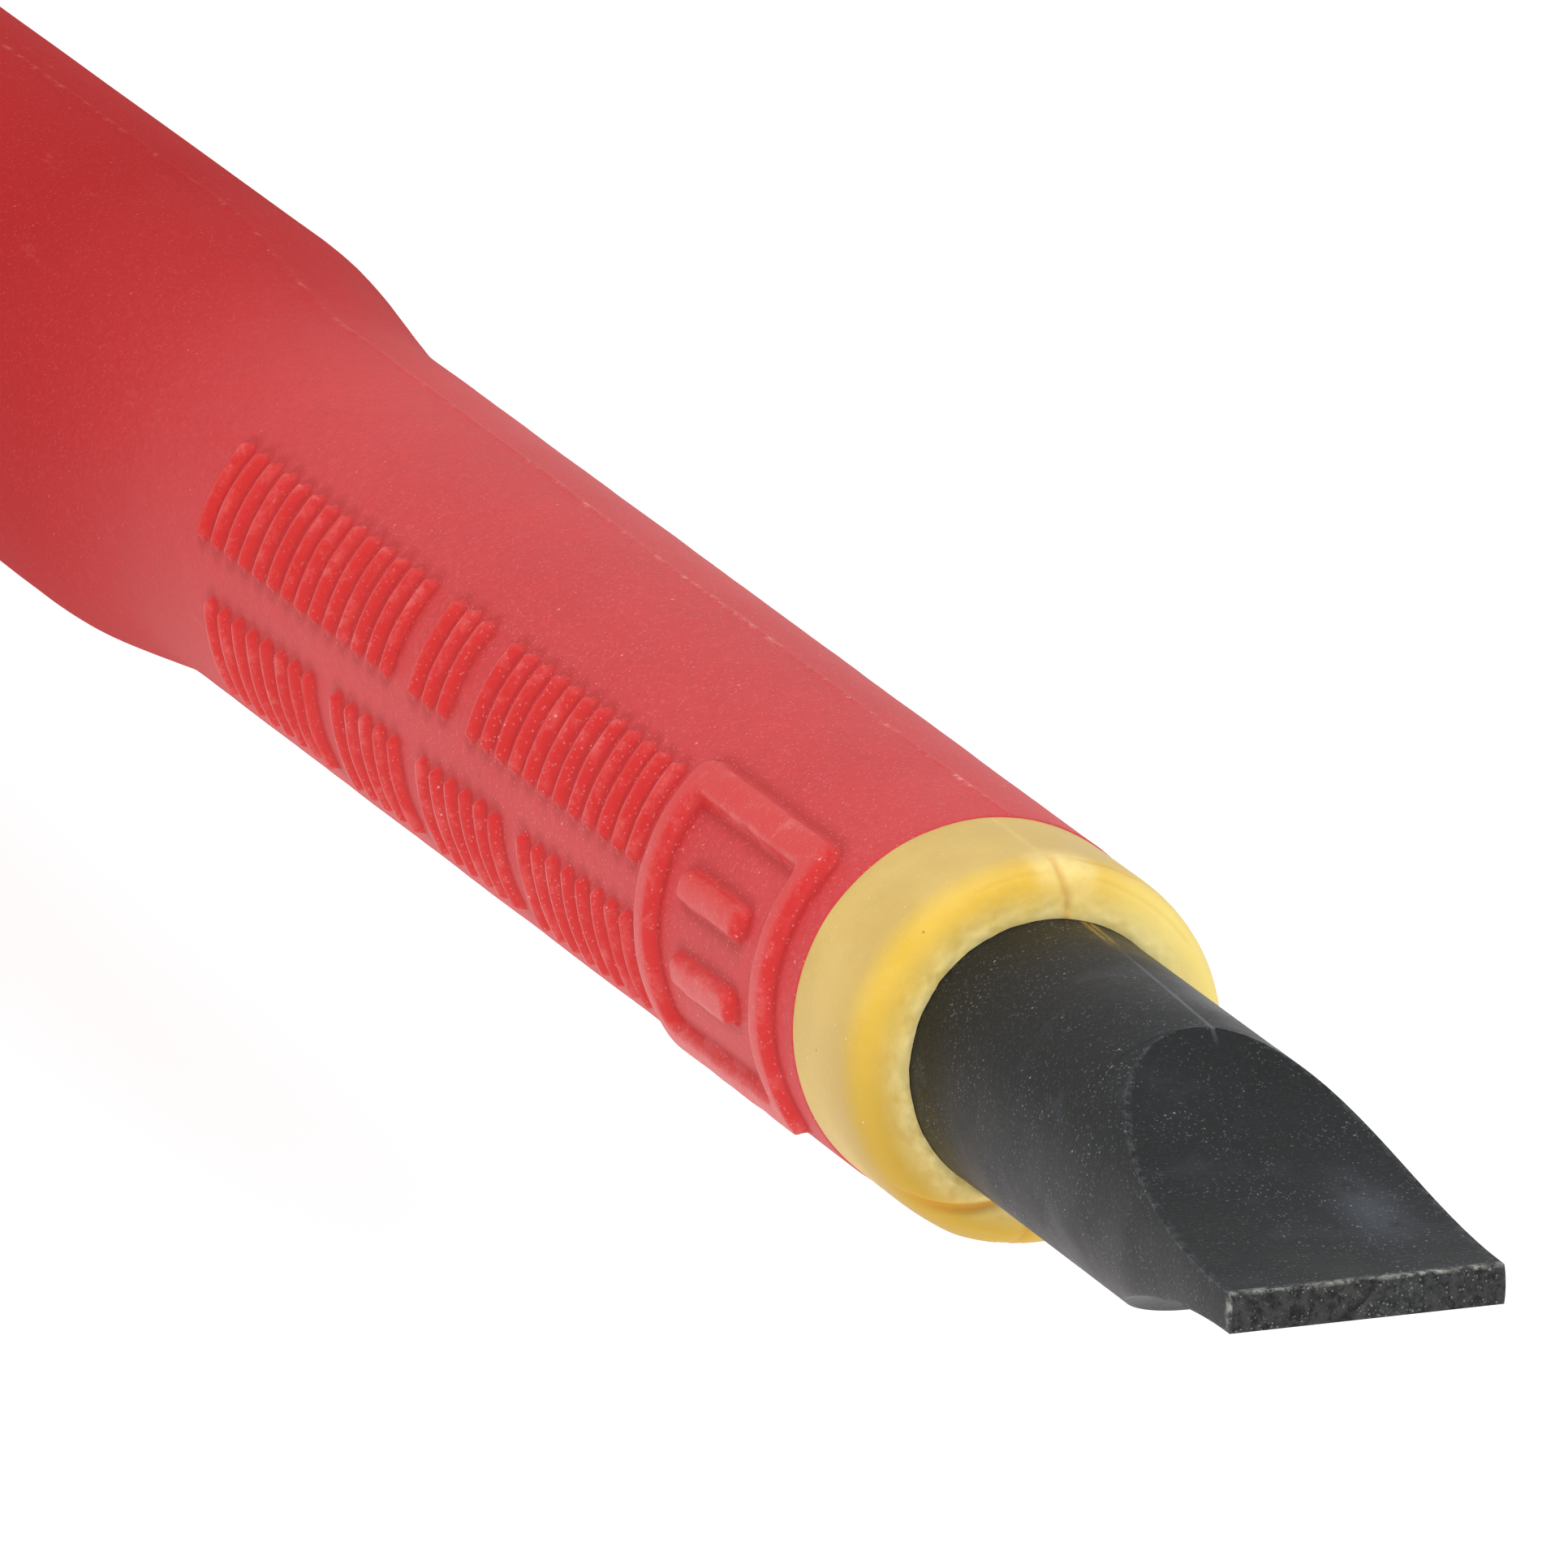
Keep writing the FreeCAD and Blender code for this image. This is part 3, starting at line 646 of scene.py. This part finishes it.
def ring_damage(points, radius, run, angles):
    """(push outwards, crease) of the ring: the joint's crack, scraped creases and flash."""
    push, crease = np.zeros(points.shape[:2]), np.zeros(points.shape[:2])
    # Cracks that run from the mouth across the shoulder, the last one a long oblique fold below
    # the steel: centre, lean, half width, depth, reach.
    for centre, lean, width, depth, reach in (
        (97.0, -14.0, 0.065, 0.050, 0.40), (-84.0, 9.0, 0.075, 0.05, 0.5), (-56.0, 123.0, 0.17, 0.10, 0.32),
    ):
        gap = np.radians(angle_gap(angles, centre + lean * (run - 0.15))) * radius
        gap = gap + 0.05 * ripple(points, 0.35, centre)
        notch = groove(gap, width) * (1 - smoothstep(reach - 0.15, reach, run))
        push -= depth * notch
        crease = np.maximum(crease, notch * depth / 0.085)
    # Dents that follow the ring: place along the run, half width, from and to angle, depth.
    for place, width, start, stop, depth in (
        (0.32, 0.014, 98, 126, 0.030), (0.22, 0.012, 66, 95, 0.012), (0.20, 0.012, 104, 150, 0.016),
        (0.34, 0.032, -108, -64, 0.06), (0.42, 0.018, -112, -66, 0.03),
    ):
        wander = 0.02 * ripple(points, 1.3, stop)
        dent = groove(run - place - wander, width) * window(angles, start, stop)
        push -= depth * dent
        crease = np.maximum(crease, dent * depth / 0.085)
    # Torn flakes beside the crack, and flash that hangs below the shoulder.
    torn = window(angles, 84, 112, 9) * groove(run - 0.26, 0.14)
    push += 0.045 * torn * ripple(points, 0.28, 6.0)
    push += 0.07 * window(angles, -110, -56, 16) * groove(run - 0.5, 0.16)
    # What is left of the mould's joint, along the band.
    joint = groove(np.radians(angle_gap(angles, 93)) * radius, 0.05) * smoothstep(0.36, 0.5, run)
    push += 0.012 * joint * smoothstep(-0.1, 0.4, ripple(points, 0.6, 14.0))
    return push, crease, torn + 0.25 * joint


def make_inner_insulation():
    """The yellow layer: a worn, hand-trimmed ring and the thinner wall behind it."""
    rows, columns = 110, 460
    profile = ring_profile(rows)
    angles = np.linspace(0, 360, columns, endpoint=False)
    normal = profile_normals(profile)
    points = turned_rows(profile, angles)
    station, radius = profile[:, :1], profile[:, 1:]
    run = np.linspace(0, 1, rows)[:, None]
    mouth = 1 - smoothstep(0.0, 0.18, run)

    push, crease, torn = ring_damage(points, radius, run, angles)
    push += 0.010 * ripple(points, 1.9) + 0.005 * ripple(points, 0.5, 11.0)
    push += mouth * 0.012 * ripple(points, 0.16, 5.0)
    push *= smoothstep(0.0, 0.06, run) * (1 - smoothstep(0.93, 1.0, run))
    # The mouth is scraped unevenly along the steel, and never lifts off it.
    scrape = mouth * (0.045 * ripple(points, 0.5, 8.0) + 0.02 * ripple(points, 0.15, 9.0))

    shaped_radius = np.maximum(radius + push * normal[:, 1:], SHANK_RADIUS + 0.004)
    shaped_station = station + push * normal[:, :1] + scrape
    ring = around(shaped_station, shaped_radius, angles[None])
    behind = turned_rows(
        [(RING_END + 0.12, 3.30), (RING_END + 0.14, INNER_RADIUS), (50, INNER_RADIUS),
         (INNER_END, INNER_RADIUS), (INNER_END, SHANK_RADIUS + 0.004), (50, SHANK_RADIUS + 0.004),
         (14.9, SHANK_RADIUS + 0.004)],
        angles,
    )
    points = np.concatenate([ring, behind])
    piece = piece_from("yellow_insulation", points, torus_faces(len(points), columns))
    sharpen(piece, 55)
    shoulder = smoothstep(0.44, 0.20, run) * np.ones((1, columns))
    add_row_masks(piece, 0, len(behind), {
        "trimmed": np.clip(0.9 * mouth + 0.8 * torn, 0, 1),
        "crease": crease,
        "shoulder": shoulder,
        # Painted light on one side of the shoulder, and painted shade on the lower side of the ring.
        "painted_light_side": shoulder * window(angles, 95, 235, 45),
        "painted_shade_low": smoothstep(0.75, 0.35, run) * window(angles, -135, 45, 80),
    })
    return piece


def sleeve_radius(x):
    """The red layer's outer radius, with soft bends at the neck and the root."""
    bend = np.linspace(-1.0, 1.0, 11)
    spread = np.interp(np.asarray(x, float)[..., None] + bend, SLEEVE_STATIONS, SLEEVE_RADII)
    return spread.mean(-1)


def bar_distance(x, s, centre_x, centre_s, half_x, half_s, corner):
    """Signed distance to a rounded bar, negative inside it, all in millimetres."""
    qx = np.abs(x - centre_x) - half_x + corner
    qs = np.abs(s - centre_s) - half_s + corner
    outside = np.hypot(np.maximum(qx, 0), np.maximum(qs, 0))
    return outside + np.minimum(np.maximum(qx, qs), 0) - corner


def rib_bars():
    """(station, middle) of every plain rib, in two rows of groups."""
    first, pitch = 25.07, 0.71
    rows = (((12, 3, 14), 1.74), ((8, 6, 5, 8), -0.97))  # ribs in each group, and the row's middle
    bars = []
    for groups, middle in rows:
        place = 0
        for group in groups:
            for _ in range(group):
                bars.append((first + place * pitch, middle))
                place += 1
            place += 1
    return bars


def mark_height(x):
    """The frame stands higher than the two rows of ribs behind it."""
    return 0.24 - 0.06 * smoothstep(24.4, 24.8, x)


def marks_distance(x, s):
    """Signed distance to the raised marks: a plain frame with two bars, and two rows of ribs."""
    frame_x, frame_s = 21.3, 0.36
    outer = bar_distance(x, s, frame_x, frame_s, 3.0, 2.7, 0.45)
    distance = np.maximum(outer, -bar_distance(x, s, frame_x, frame_s, 2.40, 2.06, 0.25))
    for offset in (-0.72, 0.72):
        bar = bar_distance(x, s, frame_x, frame_s + offset, 1.35, 0.27, 0.2)
        distance = np.minimum(distance, bar)
    for bar_x, bar_s in rib_bars():
        near = np.abs(x[:, 0] - bar_x) < 1.0
        bar = bar_distance(x[near], s, bar_x, bar_s, 0.11, 0.90, 0.10)
        distance[near] = np.minimum(distance[near], bar)
    return distance


def spaced(*stretches):
    """Stations from (start, end, step) stretches, without repeats."""
    parts = [np.arange(start, end - 1e-6, step) for start, end, step in stretches]
    return np.r_[tuple(parts) + (stretches[-1][1],)]


def sleeve_stations():
    """Rows along the sleeve, closest where it carries the marks."""
    return spaced(
        (17.44, 18.0, 0.09), (18.0, 47.6, 0.072), (47.6, 58.0, 0.26), (58.0, OUTER_END, 2.5)
    )


def sleeve_angles():
    """Columns round the sleeve, closest at the marks and at the two seams."""
    front, back = SEAM_ANGLES
    return spaced(
        (-46, 58, 1.0), (58, front - 2.5, 2.7), (front - 2.5, front + 2.5, 0.5),
        (front + 2.5, back - 2.5, 3.5), (back - 2.5, back + 2.5, 0.6), (back + 2.5, 314, 2.7),
    )[:-1]


def seam_lines(phi, radius, points):
    """1 on the mould's two wandering joint lines, falling to 0 beside them."""
    lines = np.zeros_like(radius)
    for seam in SEAM_ANGLES:
        gap = np.radians(angle_gap(phi, seam)) * radius + 0.03 * ripple(points, 2.0, 19.0)
        lines = np.maximum(lines, groove(gap, 0.06))
    return lines


def sleeve_lip(phi, radius):
    """The rounded front edge, from its face outwards to the sleeve's first row."""
    turn = np.linspace(0, np.pi / 2, 5)[:-1, None]
    ragged = 0.03 * ripple(around(RING_END, 3.3, phi), 0.8, 2.0)
    return around(RING_END + ragged + 0.1 - 0.1 * np.sin(turn), radius - 0.1 + 0.1 * np.cos(turn), phi)[::-1]


def make_outer_insulation():
    """The red layer: drafted sleeve, flared root, mould seams and raised marks."""
    x, phi = sleeve_stations()[:, None], sleeve_angles()[None]
    base = sleeve_radius(x) * np.ones_like(phi)
    points = around(x, base, phi)
    wobble = 0.010 * ripple(points, 2.6, 4.0) + 0.004 * ripple(points, 0.7, 9.0)
    distance = marks_distance(x, np.radians(phi) * MARK_RADIUS) + 0.022 * ripple(points, 0.6, 21.0)
    crown = 0.88 + 0.12 * smoothstep(0.0, -0.2, distance) + 0.06 * ripple(points, 0.7, 31.0)
    seams = seam_lines(phi, base, points)
    broken = smoothstep(-0.5, 0.2, ripple(points * [0.35, 1, 1], 1.2, 17.0))
    relief = mark_height(x) * smoothstep(0.06, -0.06, distance) * crown + 0.03 * seams * broken

    inside = turned_rows([(RING_END + 0.06, INNER_RADIUS)], phi[0])
    lip = sleeve_lip(phi, base[:1] + wobble[:1])
    outer = around(x, base + wobble + relief, phi)
    back = turned_rows([(OUTER_END, INNER_RADIUS)], phi[0])
    points = np.concatenate([inside, lip, outer, back])
    piece = piece_from("red_insulation", points, torus_faces(len(points), phi.size))
    sharpen(piece, 60)
    add_row_masks(piece, len(inside) + len(lip), len(back), {
        "raised": smoothstep(0.06, -0.04, distance),
        "wall": groove(distance - 0.01, 0.08),
        "hollow": smoothstep(0.04, 0.09, distance) * smoothstep(0.36, 0.09, distance),
        "rim": groove(distance + 0.05, 0.05),
        "seam": seams,
    })
    return piece


# ---------------------------------------------------------------- handle

def between(first, second, along, across):
    """A point this share of the way along the tool, and that share of the way outwards."""
    return (
        first[0] + along * (second[0] - first[0]),
        first[1] + across * (second[1] - first[1]),
    )


def handle_outline():
    """Points of the handle's outline from the nose to the end, as (station, radius)."""
    stretches = (
        (NOSE, GUARD, ((0.04, 0.10), (0.35, 0.23), (0.68, 0.62), (0.87, 0.94))),
        (GUARD, WAIST, ((0.13, 0.13), (0.42, 0.66))),
        (WAIST, SWELL, ((0.36, 0.46), (0.70, 0.88))),
        (SWELL, TAPER, ((0.55, 0.48),)),
        (TAPER, BUTT, ()),
        (BUTT, END, ((0.60, 0.28), (0.96, 0.87))),
    )
    outline = []
    for first, second, bends in stretches:
        outline += [first, *(between(first, second, *bend) for bend in bends)]
    return outline + [END]


HANDLE_LINE = smooth_curve(handle_outline(), 700)


def handle_radius(x):
    """The turned outline of the handle."""
    return np.interp(x, HANDLE_LINE[:, 0], HANDLE_LINE[:, 1])


def soft_minimum(a, b, sharpness=7.0):
    """The smaller of two lengths, with the corner between them rounded."""
    low = np.minimum(a, b)
    return low - np.log(np.exp(-sharpness * (a - low)) + np.exp(-sharpness * (b - low))) / sharpness


def face_height(x, y):
    """How far the handle's surface stands from the axis plane over the point (x, y) of one face."""
    radius = handle_radius(x)
    round_height = np.sqrt(np.clip(radius ** 2 - np.asarray(y, float) ** 2, 0, None))
    return soft_minimum(round_height, np.full_like(round_height, FLAT_HEIGHT))


def on_face(x, y, sink=0.0):
    """Points of the top face, sunk below the handle's surface."""
    x, y, sink = np.broadcast_arrays(x, y, sink)
    return np.stack([x, y, face_height(x, y) - sink], -1)


def turned_face(points, face):
    """The same points on another face of the handle."""
    turn = 2 * np.pi * face / LOBES
    x, y, z = np.moveaxis(np.asarray(points), -1, 0)
    return np.stack([x, y * np.cos(turn) - z * np.sin(turn), y * np.sin(turn) + z * np.cos(turn)], -1)


def sector_grid(stations, shares):
    """Points of one sixth of the handle: shares run from -1 to 1 across it."""
    x = np.asarray(stations)[:, None]
    return on_face(x, np.asarray(shares)[None] * handle_radius(x) / 2)


def arc_points(centre, radius, start, stop, steps):
    """Points on an arc about (centre, 0), both ends included."""
    turn = np.radians(np.linspace(start, stop, steps + 1))
    return np.c_[centre + radius * np.cos(turn), radius * np.sin(turn)]


def slot_loop(shrink, long_steps, end_steps):
    """A pad's outline as a loop of (x, y), with its radii reduced by shrink.

    It goes along the lower side, round the rear end, back along the upper side and round the front.
    Each side has long_steps, an eighth of a circle at both ends among them, and each end end_steps.
    """
    (front_x, front_r), (rear_x, rear_r) = PAD_FRONT, PAD_REAR
    lean = math.degrees(math.asin((rear_r - front_r) / (rear_x - front_x)))
    front_r, rear_r = max(front_r - shrink, 0.01), max(rear_r - shrink, 0.01)
    corner_steps = 8
    front_corner = arc_points(front_x, front_r, -135, -90 - lean, corner_steps)
    rear_corner = arc_points(rear_x, rear_r, -90 - lean, -45, corner_steps)
    share = np.linspace(0, 1, long_steps - 2 * corner_steps + 1)[1:-1, None]
    line = front_corner[-1] + (rear_corner[0] - front_corner[-1]) * share
    lower = np.r_[front_corner, line, rear_corner]
    upper = lower[::-1] * [1, -1]
    rear = arc_points(rear_x, rear_r, -45, 45, end_steps)
    front = arc_points(front_x, front_r, 135, 225, end_steps)
    return np.r_[lower[:-1], rear[:-1], upper[:-1], front[:-1]]


LONG_STEPS, END_STEPS = 240, 32
SHARES = np.linspace(-1, 1, END_STEPS + 1)


def patch_loop():
    """The border of the patch round a window, matched point for point to slot_loop."""
    slot_x = slot_loop(0, LONG_STEPS, END_STEPS)[: LONG_STEPS + 1, 0]
    start, stop = WINDOW_ENDS
    x = start + (stop - start) * (slot_x - slot_x[0]) / (slot_x[-1] - slot_x[0])
    half = handle_radius(x) / 2
    lower = np.c_[x, -half]
    rear = np.c_[np.full(END_STEPS + 1, stop), SHARES * half[-1]]
    front = np.c_[np.full(END_STEPS + 1, start), -SHARES * half[0]]
    return np.r_[lower[:-1], rear[:-1], lower[:0:-1] * [1, -1], front[:-1]]


def window_patch():
    """One sixth of the grip round its pad: surface, rounded lip, wall and pocket floor."""
    border, lip_radius = patch_loop(), 0.3
    lip_start = slot_loop(-lip_radius, LONG_STEPS, END_STEPS)
    layers = []
    for share in np.linspace(0, 1, 12) ** 0.8:
        loop = border + (lip_start - border) * share
        layers.append(on_face(loop[:, 0], loop[:, 1]))
    for turn in np.linspace(0, np.pi / 2, 5)[1:]:
        loop = slot_loop(-lip_radius * (1 - math.sin(turn)), LONG_STEPS, END_STEPS)
        layers.append(on_face(loop[:, 0], loop[:, 1], lip_radius * (1 - math.cos(turn))))
    rim = slot_loop(0, LONG_STEPS, END_STEPS)
    middle = slot_loop(99, LONG_STEPS, END_STEPS) * [1, 0]
    layers.append(on_face(rim[:, 0], rim[:, 1], PAD_WALL))
    layers.append(on_face(middle[:, 0], middle[:, 1], PAD_WALL))
    return np.array(layers)


def round_row(x, radius):
    """One row of a sector's columns on a circle about the axis."""
    y = SHARES * radius / 2
    return np.stack([np.full_like(y, x), y, np.sqrt(radius ** 2 - y ** 2)], -1)[None]


def joint_row():
    """The row of a sector at the cap's joint, drawn in by the small bevel."""
    share = 1 - JOINT_BREAK / float(face_height(CAP_JOINT, 0.0))
    return sector_grid([CAP_JOINT], SHARES) * [1, share, share]


def line_stations(start, stop, skip):
    """Stations of the handle's outline between two stations, both included."""
    x = HANDLE_LINE[::skip, 0]
    return np.r_[start, x[(x > start + 0.05) & (x < stop - 0.05)], stop]


def six_fold(name, patches):
    """A closed piece from patches of one sixth, each a grid, wrapped or not, turned six times."""
    points, faces, count = [], [], 0
    for face in range(LOBES):
        for patch, wrap in patches:
            rows, columns = patch.shape[:2]
            points.append(turned_face(patch, face).reshape(-1, 3))
            faces += grid_faces(rows, columns, wrap, count).tolist()
            count += rows * columns
    return piece_from(name, np.concatenate(points), faces, merge=0.003)


def make_handle_shell():
    """Nose, finger guard and grip in one hard moulding, with a rounded lip round each pad."""
    start, stop = WINDOW_ENDS
    front = np.concatenate([
        round_row(OUTER_END - 0.05, 0.0),
        round_row(OUTER_END - 0.05, BORE_RADIUS),
        round_row(NOSE[0] + 0.2, BORE_RADIUS),
        round_row(NOSE[0], BORE_RADIUS + 0.2),
        round_row(NOSE[0], 0.5 * (BORE_RADIUS + NOSE[1])),
        sector_grid(line_stations(NOSE[0], start, 3), SHARES),
    ])
    rear = np.concatenate([
        sector_grid(line_stations(stop, CAP_JOINT - JOINT_BREAK, 4), SHARES),
        joint_row(),
        round_row(CAP_JOINT, 0.0),
    ])
    shell = six_fold("handle_shell_red", [(front, False), (window_patch(), True), (rear, False)])
    sharpen(shell, 50)
    x, y, z = places_mm(shell).T
    radius = np.hypot(y, z)
    rim = smoothstep(13.7, 14.3, radius)
    rim = np.maximum(rim, 0.7 * smoothstep(13.3, 13.8, radius) * (x > WAIST[0]))
    add_mask(shell, "rubbed", rim)
    return shell


def rib_valley(x):
    """Depth share of the valleys between a pad's cross ribs."""
    wave = 0.5 - 0.5 * np.cos(2 * np.pi * (np.asarray(x) - PAD_FRONT[0]) / 2.4)
    return smoothstep(0.25, 0.85, wave)


def make_grip_pad(number):
    """A soft inlay with a plain border and cross ribs, a hair smaller than its window."""
    gap, round_edge_mm, rib_depth = 0.06, 0.32, 0.38
    insets = [0, 0.03, 0.08, 0.15, 0.24, 0.34, 0.55, 0.7, 0.8, 0.92, 1.05, 1.25, 1.6, 2.0, 2.4, 2.8, 99]
    under = slot_loop(gap + 0.02, LONG_STEPS, END_STEPS)
    layers = [on_face(under[:, 0], under[:, 1], PAD_WALL - 0.05)]
    valleys = [np.zeros(len(under))]
    for inset in insets:
        loop = slot_loop(gap + inset, LONG_STEPS, END_STEPS)
        fall = 1 - min(inset / round_edge_mm, 1)
        edge_sink = round_edge_mm * (1 - math.sqrt(1 - fall ** 2))
        valley = rib_valley(loop[:, 0]) * smoothstep(0.62, 1.0, inset)
        ends = smoothstep(PAD_FRONT[0] - 1.2, PAD_FRONT[0], loop[:, 0])
        ends = ends * smoothstep(PAD_REAR[0] + 2.6, PAD_REAR[0] + 1.4, loop[:, 0])
        layers.append(on_face(loop[:, 0], loop[:, 1], 0.04 + edge_sink + rib_depth * valley * ends))
        valleys.append(valley * ends)
    centre = slot_loop(99, LONG_STEPS, END_STEPS)
    layers.insert(0, on_face(centre[:, 0], centre[:, 1], PAD_WALL - 0.05))
    valleys.insert(0, np.zeros(len(centre)))
    points = turned_face(np.array(layers), number - 1)
    faces = grid_faces(len(layers), len(under), True).tolist()
    pad = piece_from(f"grip_pad_{number}_soft", points, faces)
    add_mask(pad, "valley", np.concatenate(valleys))
    join_doubles(pad.data, 0.025)
    sharpen(pad, 60)
    return pad


def make_end_cap():
    """The butt: a domed six-sided cap with a seat for the marker."""
    seat = MARKER_RADIUS + 0.04
    rows = np.concatenate([
        round_row(CAP_JOINT, 0.0),
        joint_row(),
        sector_grid(line_stations(CAP_JOINT + JOINT_BREAK, END[0], 2), SHARES),
        round_row(END[0], 0.5 * (END[1] + seat)),
        round_row(END[0], seat + 0.15),
        round_row(END[0] - 0.15, seat),
        round_row(END[0] - MARKER_THICKNESS, seat),
        round_row(END[0] - MARKER_THICKNESS, 0.0),
    ])
    cap = six_fold("end_cap_red", [(rows, False)])
    sharpen(cap, 50)
    x, y, z = places_mm(cap).T
    add_mask(cap, "rubbed", smoothstep(END[0] - 3.5, END[0] - 0.8, x) * smoothstep(6.0, 8.0, np.hypot(y, z)))
    return cap


def bar_loop(half_length, half_width, corner, steps):
    """A rounded bar's outline as a loop of (y, z), a quarter of its points round each corner."""
    far, near = half_length - corner, half_width - corner
    loop = []
    for y, z, start in ((far, near, 0), (-far, near, 90), (-far, -near, 180), (far, -near, 270)):
        sweep = np.radians(start + np.linspace(0, 90, steps // 4))
        loop.append(np.c_[y + corner * np.cos(sweep), z + corner * np.sin(sweep)])
    return np.concatenate(loop)


def make_tip_marker():
    """The disc in the butt, with a sunk bar: the sign for a slotted tip."""
    steps = 96
    turn = np.radians(np.concatenate([
        np.linspace(a, b, steps // 4) for a, b in ((8, 82), (98, 172), (188, 262), (278, 352))
    ]))
    disc = np.c_[np.cos(turn), np.sin(turn)]
    radius = MARKER_RADIUS - 0.02
    bar = bar_loop(3.8, 0.6, 0.25, steps)
    inner_bar = bar_loop(3.68, 0.48, 0.2, steps)

    def at(loop, x):
        return np.c_[np.full(len(loop), x), loop]

    bottom = END[0] - MARKER_THICKNESS + 0.01
    face = END[0] - 0.02
    layers = [at(disc * 0, bottom), at(disc * radius, bottom), at(disc * radius, face - 0.2)]
    for bend in np.linspace(0, np.pi / 2, 4):
        layers.append(at(disc * (radius - 0.2 + 0.2 * math.cos(bend)), face - 0.2 + 0.2 * math.sin(bend)))
    layers += [at(disc * 4.6, face), at(bar * 1.03, face), at(bar, face - 0.04)]
    layers += [at(inner_bar, face - 0.36), at(inner_bar * [1, 0], face - 0.36)]
    faces = grid_faces(len(layers), steps, True)
    marker = piece_from("tip_marker_disc", np.array(layers), faces, merge=0.002)
    sharpen(marker, 40)
    return marker


# ---------------------------------------------------------------- stage

PHOTO_SIDE = 1932
SENSOR = 36.0
FOCAL_PIXELS = 38595  # focal length counted in pixels of a picture PHOTO_SIDE wide
CAMERA_AZIMUTH, CAMERA_ELEVATION = 249.51, 16.02
CAMERA_DISTANCE = 500.0
CAMERA_RIGHT, CAMERA_UP = -9.31, 8.22  # where the view's middle passes the tip, in its own plane


def add_camera():
    """A long lens on the tip, at the photograph's viewing angle."""
    azimuth, elevation = math.radians(CAMERA_AZIMUTH), math.radians(CAMERA_ELEVATION)
    back = Vector((
        math.sin(azimuth) * math.cos(elevation), -math.cos(azimuth) * math.cos(elevation), math.sin(elevation)
    ))
    right = Vector((math.cos(azimuth), math.sin(azimuth), 0))
    up = back.cross(right)
    lens = bpy.data.cameras.new("camera")
    lens.sensor_width = SENSOR
    lens.lens = SENSOR * FOCAL_PIXELS / PHOTO_SIDE
    lens.clip_start, lens.clip_end = 0.01, 20
    camera = bpy.data.objects.new("camera", lens)
    camera.location = (right * CAMERA_RIGHT + up * CAMERA_UP + back * CAMERA_DISTANCE) * MM
    camera.rotation_euler = back.to_track_quat("Z", "Y").to_euler()
    bpy.context.scene.collection.objects.link(camera)
    bpy.context.scene.camera = camera


def add_area(name, place, target, size, watts):
    """A round white light at a place, turned towards a target."""
    light = bpy.data.lights.new(name, "AREA")
    light.shape = "DISK"
    light.size = size
    light.energy = watts
    lamp = bpy.data.objects.new(name, light)
    lamp.location = place
    lamp.rotation_euler = (Vector(place) - Vector(target)).to_track_quat("Z", "Y").to_euler()
    bpy.context.scene.collection.objects.link(lamp)


def add_light():
    """A white light tent: an even surround, a broad top light and a weaker front light."""
    world = bpy.data.worlds.new("surround")
    world.use_nodes = True
    background = world.node_tree.nodes["Background"]
    background.inputs["Color"].default_value = (1, 1, 1, 1)
    background.inputs["Strength"].default_value = 0.78
    bpy.context.scene.world = world
    middle = (0.04, 0, 0)
    add_area("top_light", (0.05, 0.1, 0.9), middle, 0.8, 2.8)
    add_area("front_light", (-0.8, 0.35, 0.35), middle, 0.5, 2.2)


def add_floor():
    half = 3.0
    mesh = bpy.data.meshes.new("floor")
    corners = [(-half, -half, 0), (half, -half, 0), (half, half, 0), (-half, half, 0)]
    mesh.from_pydata(corners, [], [(0, 1, 2, 3)])
    floor = bpy.data.objects.new("floor", mesh)
    floor.location.z = cad_box[0][2]
    floor.data.materials.append(pale_floor())
    bpy.context.scene.collection.objects.link(floor)


# ---------------------------------------------------------------- the screwdriver

def join_pieces(first, second):
    """One piece from two."""
    bpy.ops.object.select_all(action="DESELECT")
    first.select_set(True)
    second.select_set(True)
    bpy.context.view_layer.objects.active = first
    bpy.ops.object.join()
    return first


def build():
    blade = join_pieces(make_blade(), make_wings())
    finish_piece(blade, black_steel(), "black_steel", "blade")
    finish_piece(make_inner_insulation(), yellow_layer(), "yellow_insulation", "inner_insulation")
    finish_piece(make_outer_insulation(), red_layer(), "red_insulation", "outer_insulation")
    shell_material = hard_red()
    finish_piece(make_handle_shell(), shell_material, "red_shell", "handle_shell")
    finish_piece(make_end_cap(), shell_material, "red_cap", "end_cap")
    grip_material = soft_grip()
    for number in range(1, LOBES + 1):
        finish_piece(make_grip_pad(number), grip_material, "grip_soft", f"grip_pad_{number}")
    finish_piece(make_tip_marker(), marker_yellow(), "marker_plastic", "tip_marker")
    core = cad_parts["handle_core"]
    for place in core.material_slots:
        place.material = hidden_core()


build()
add_floor()
add_light()
add_camera()
bpy.context.scene.view_settings.view_transform = "Standard"
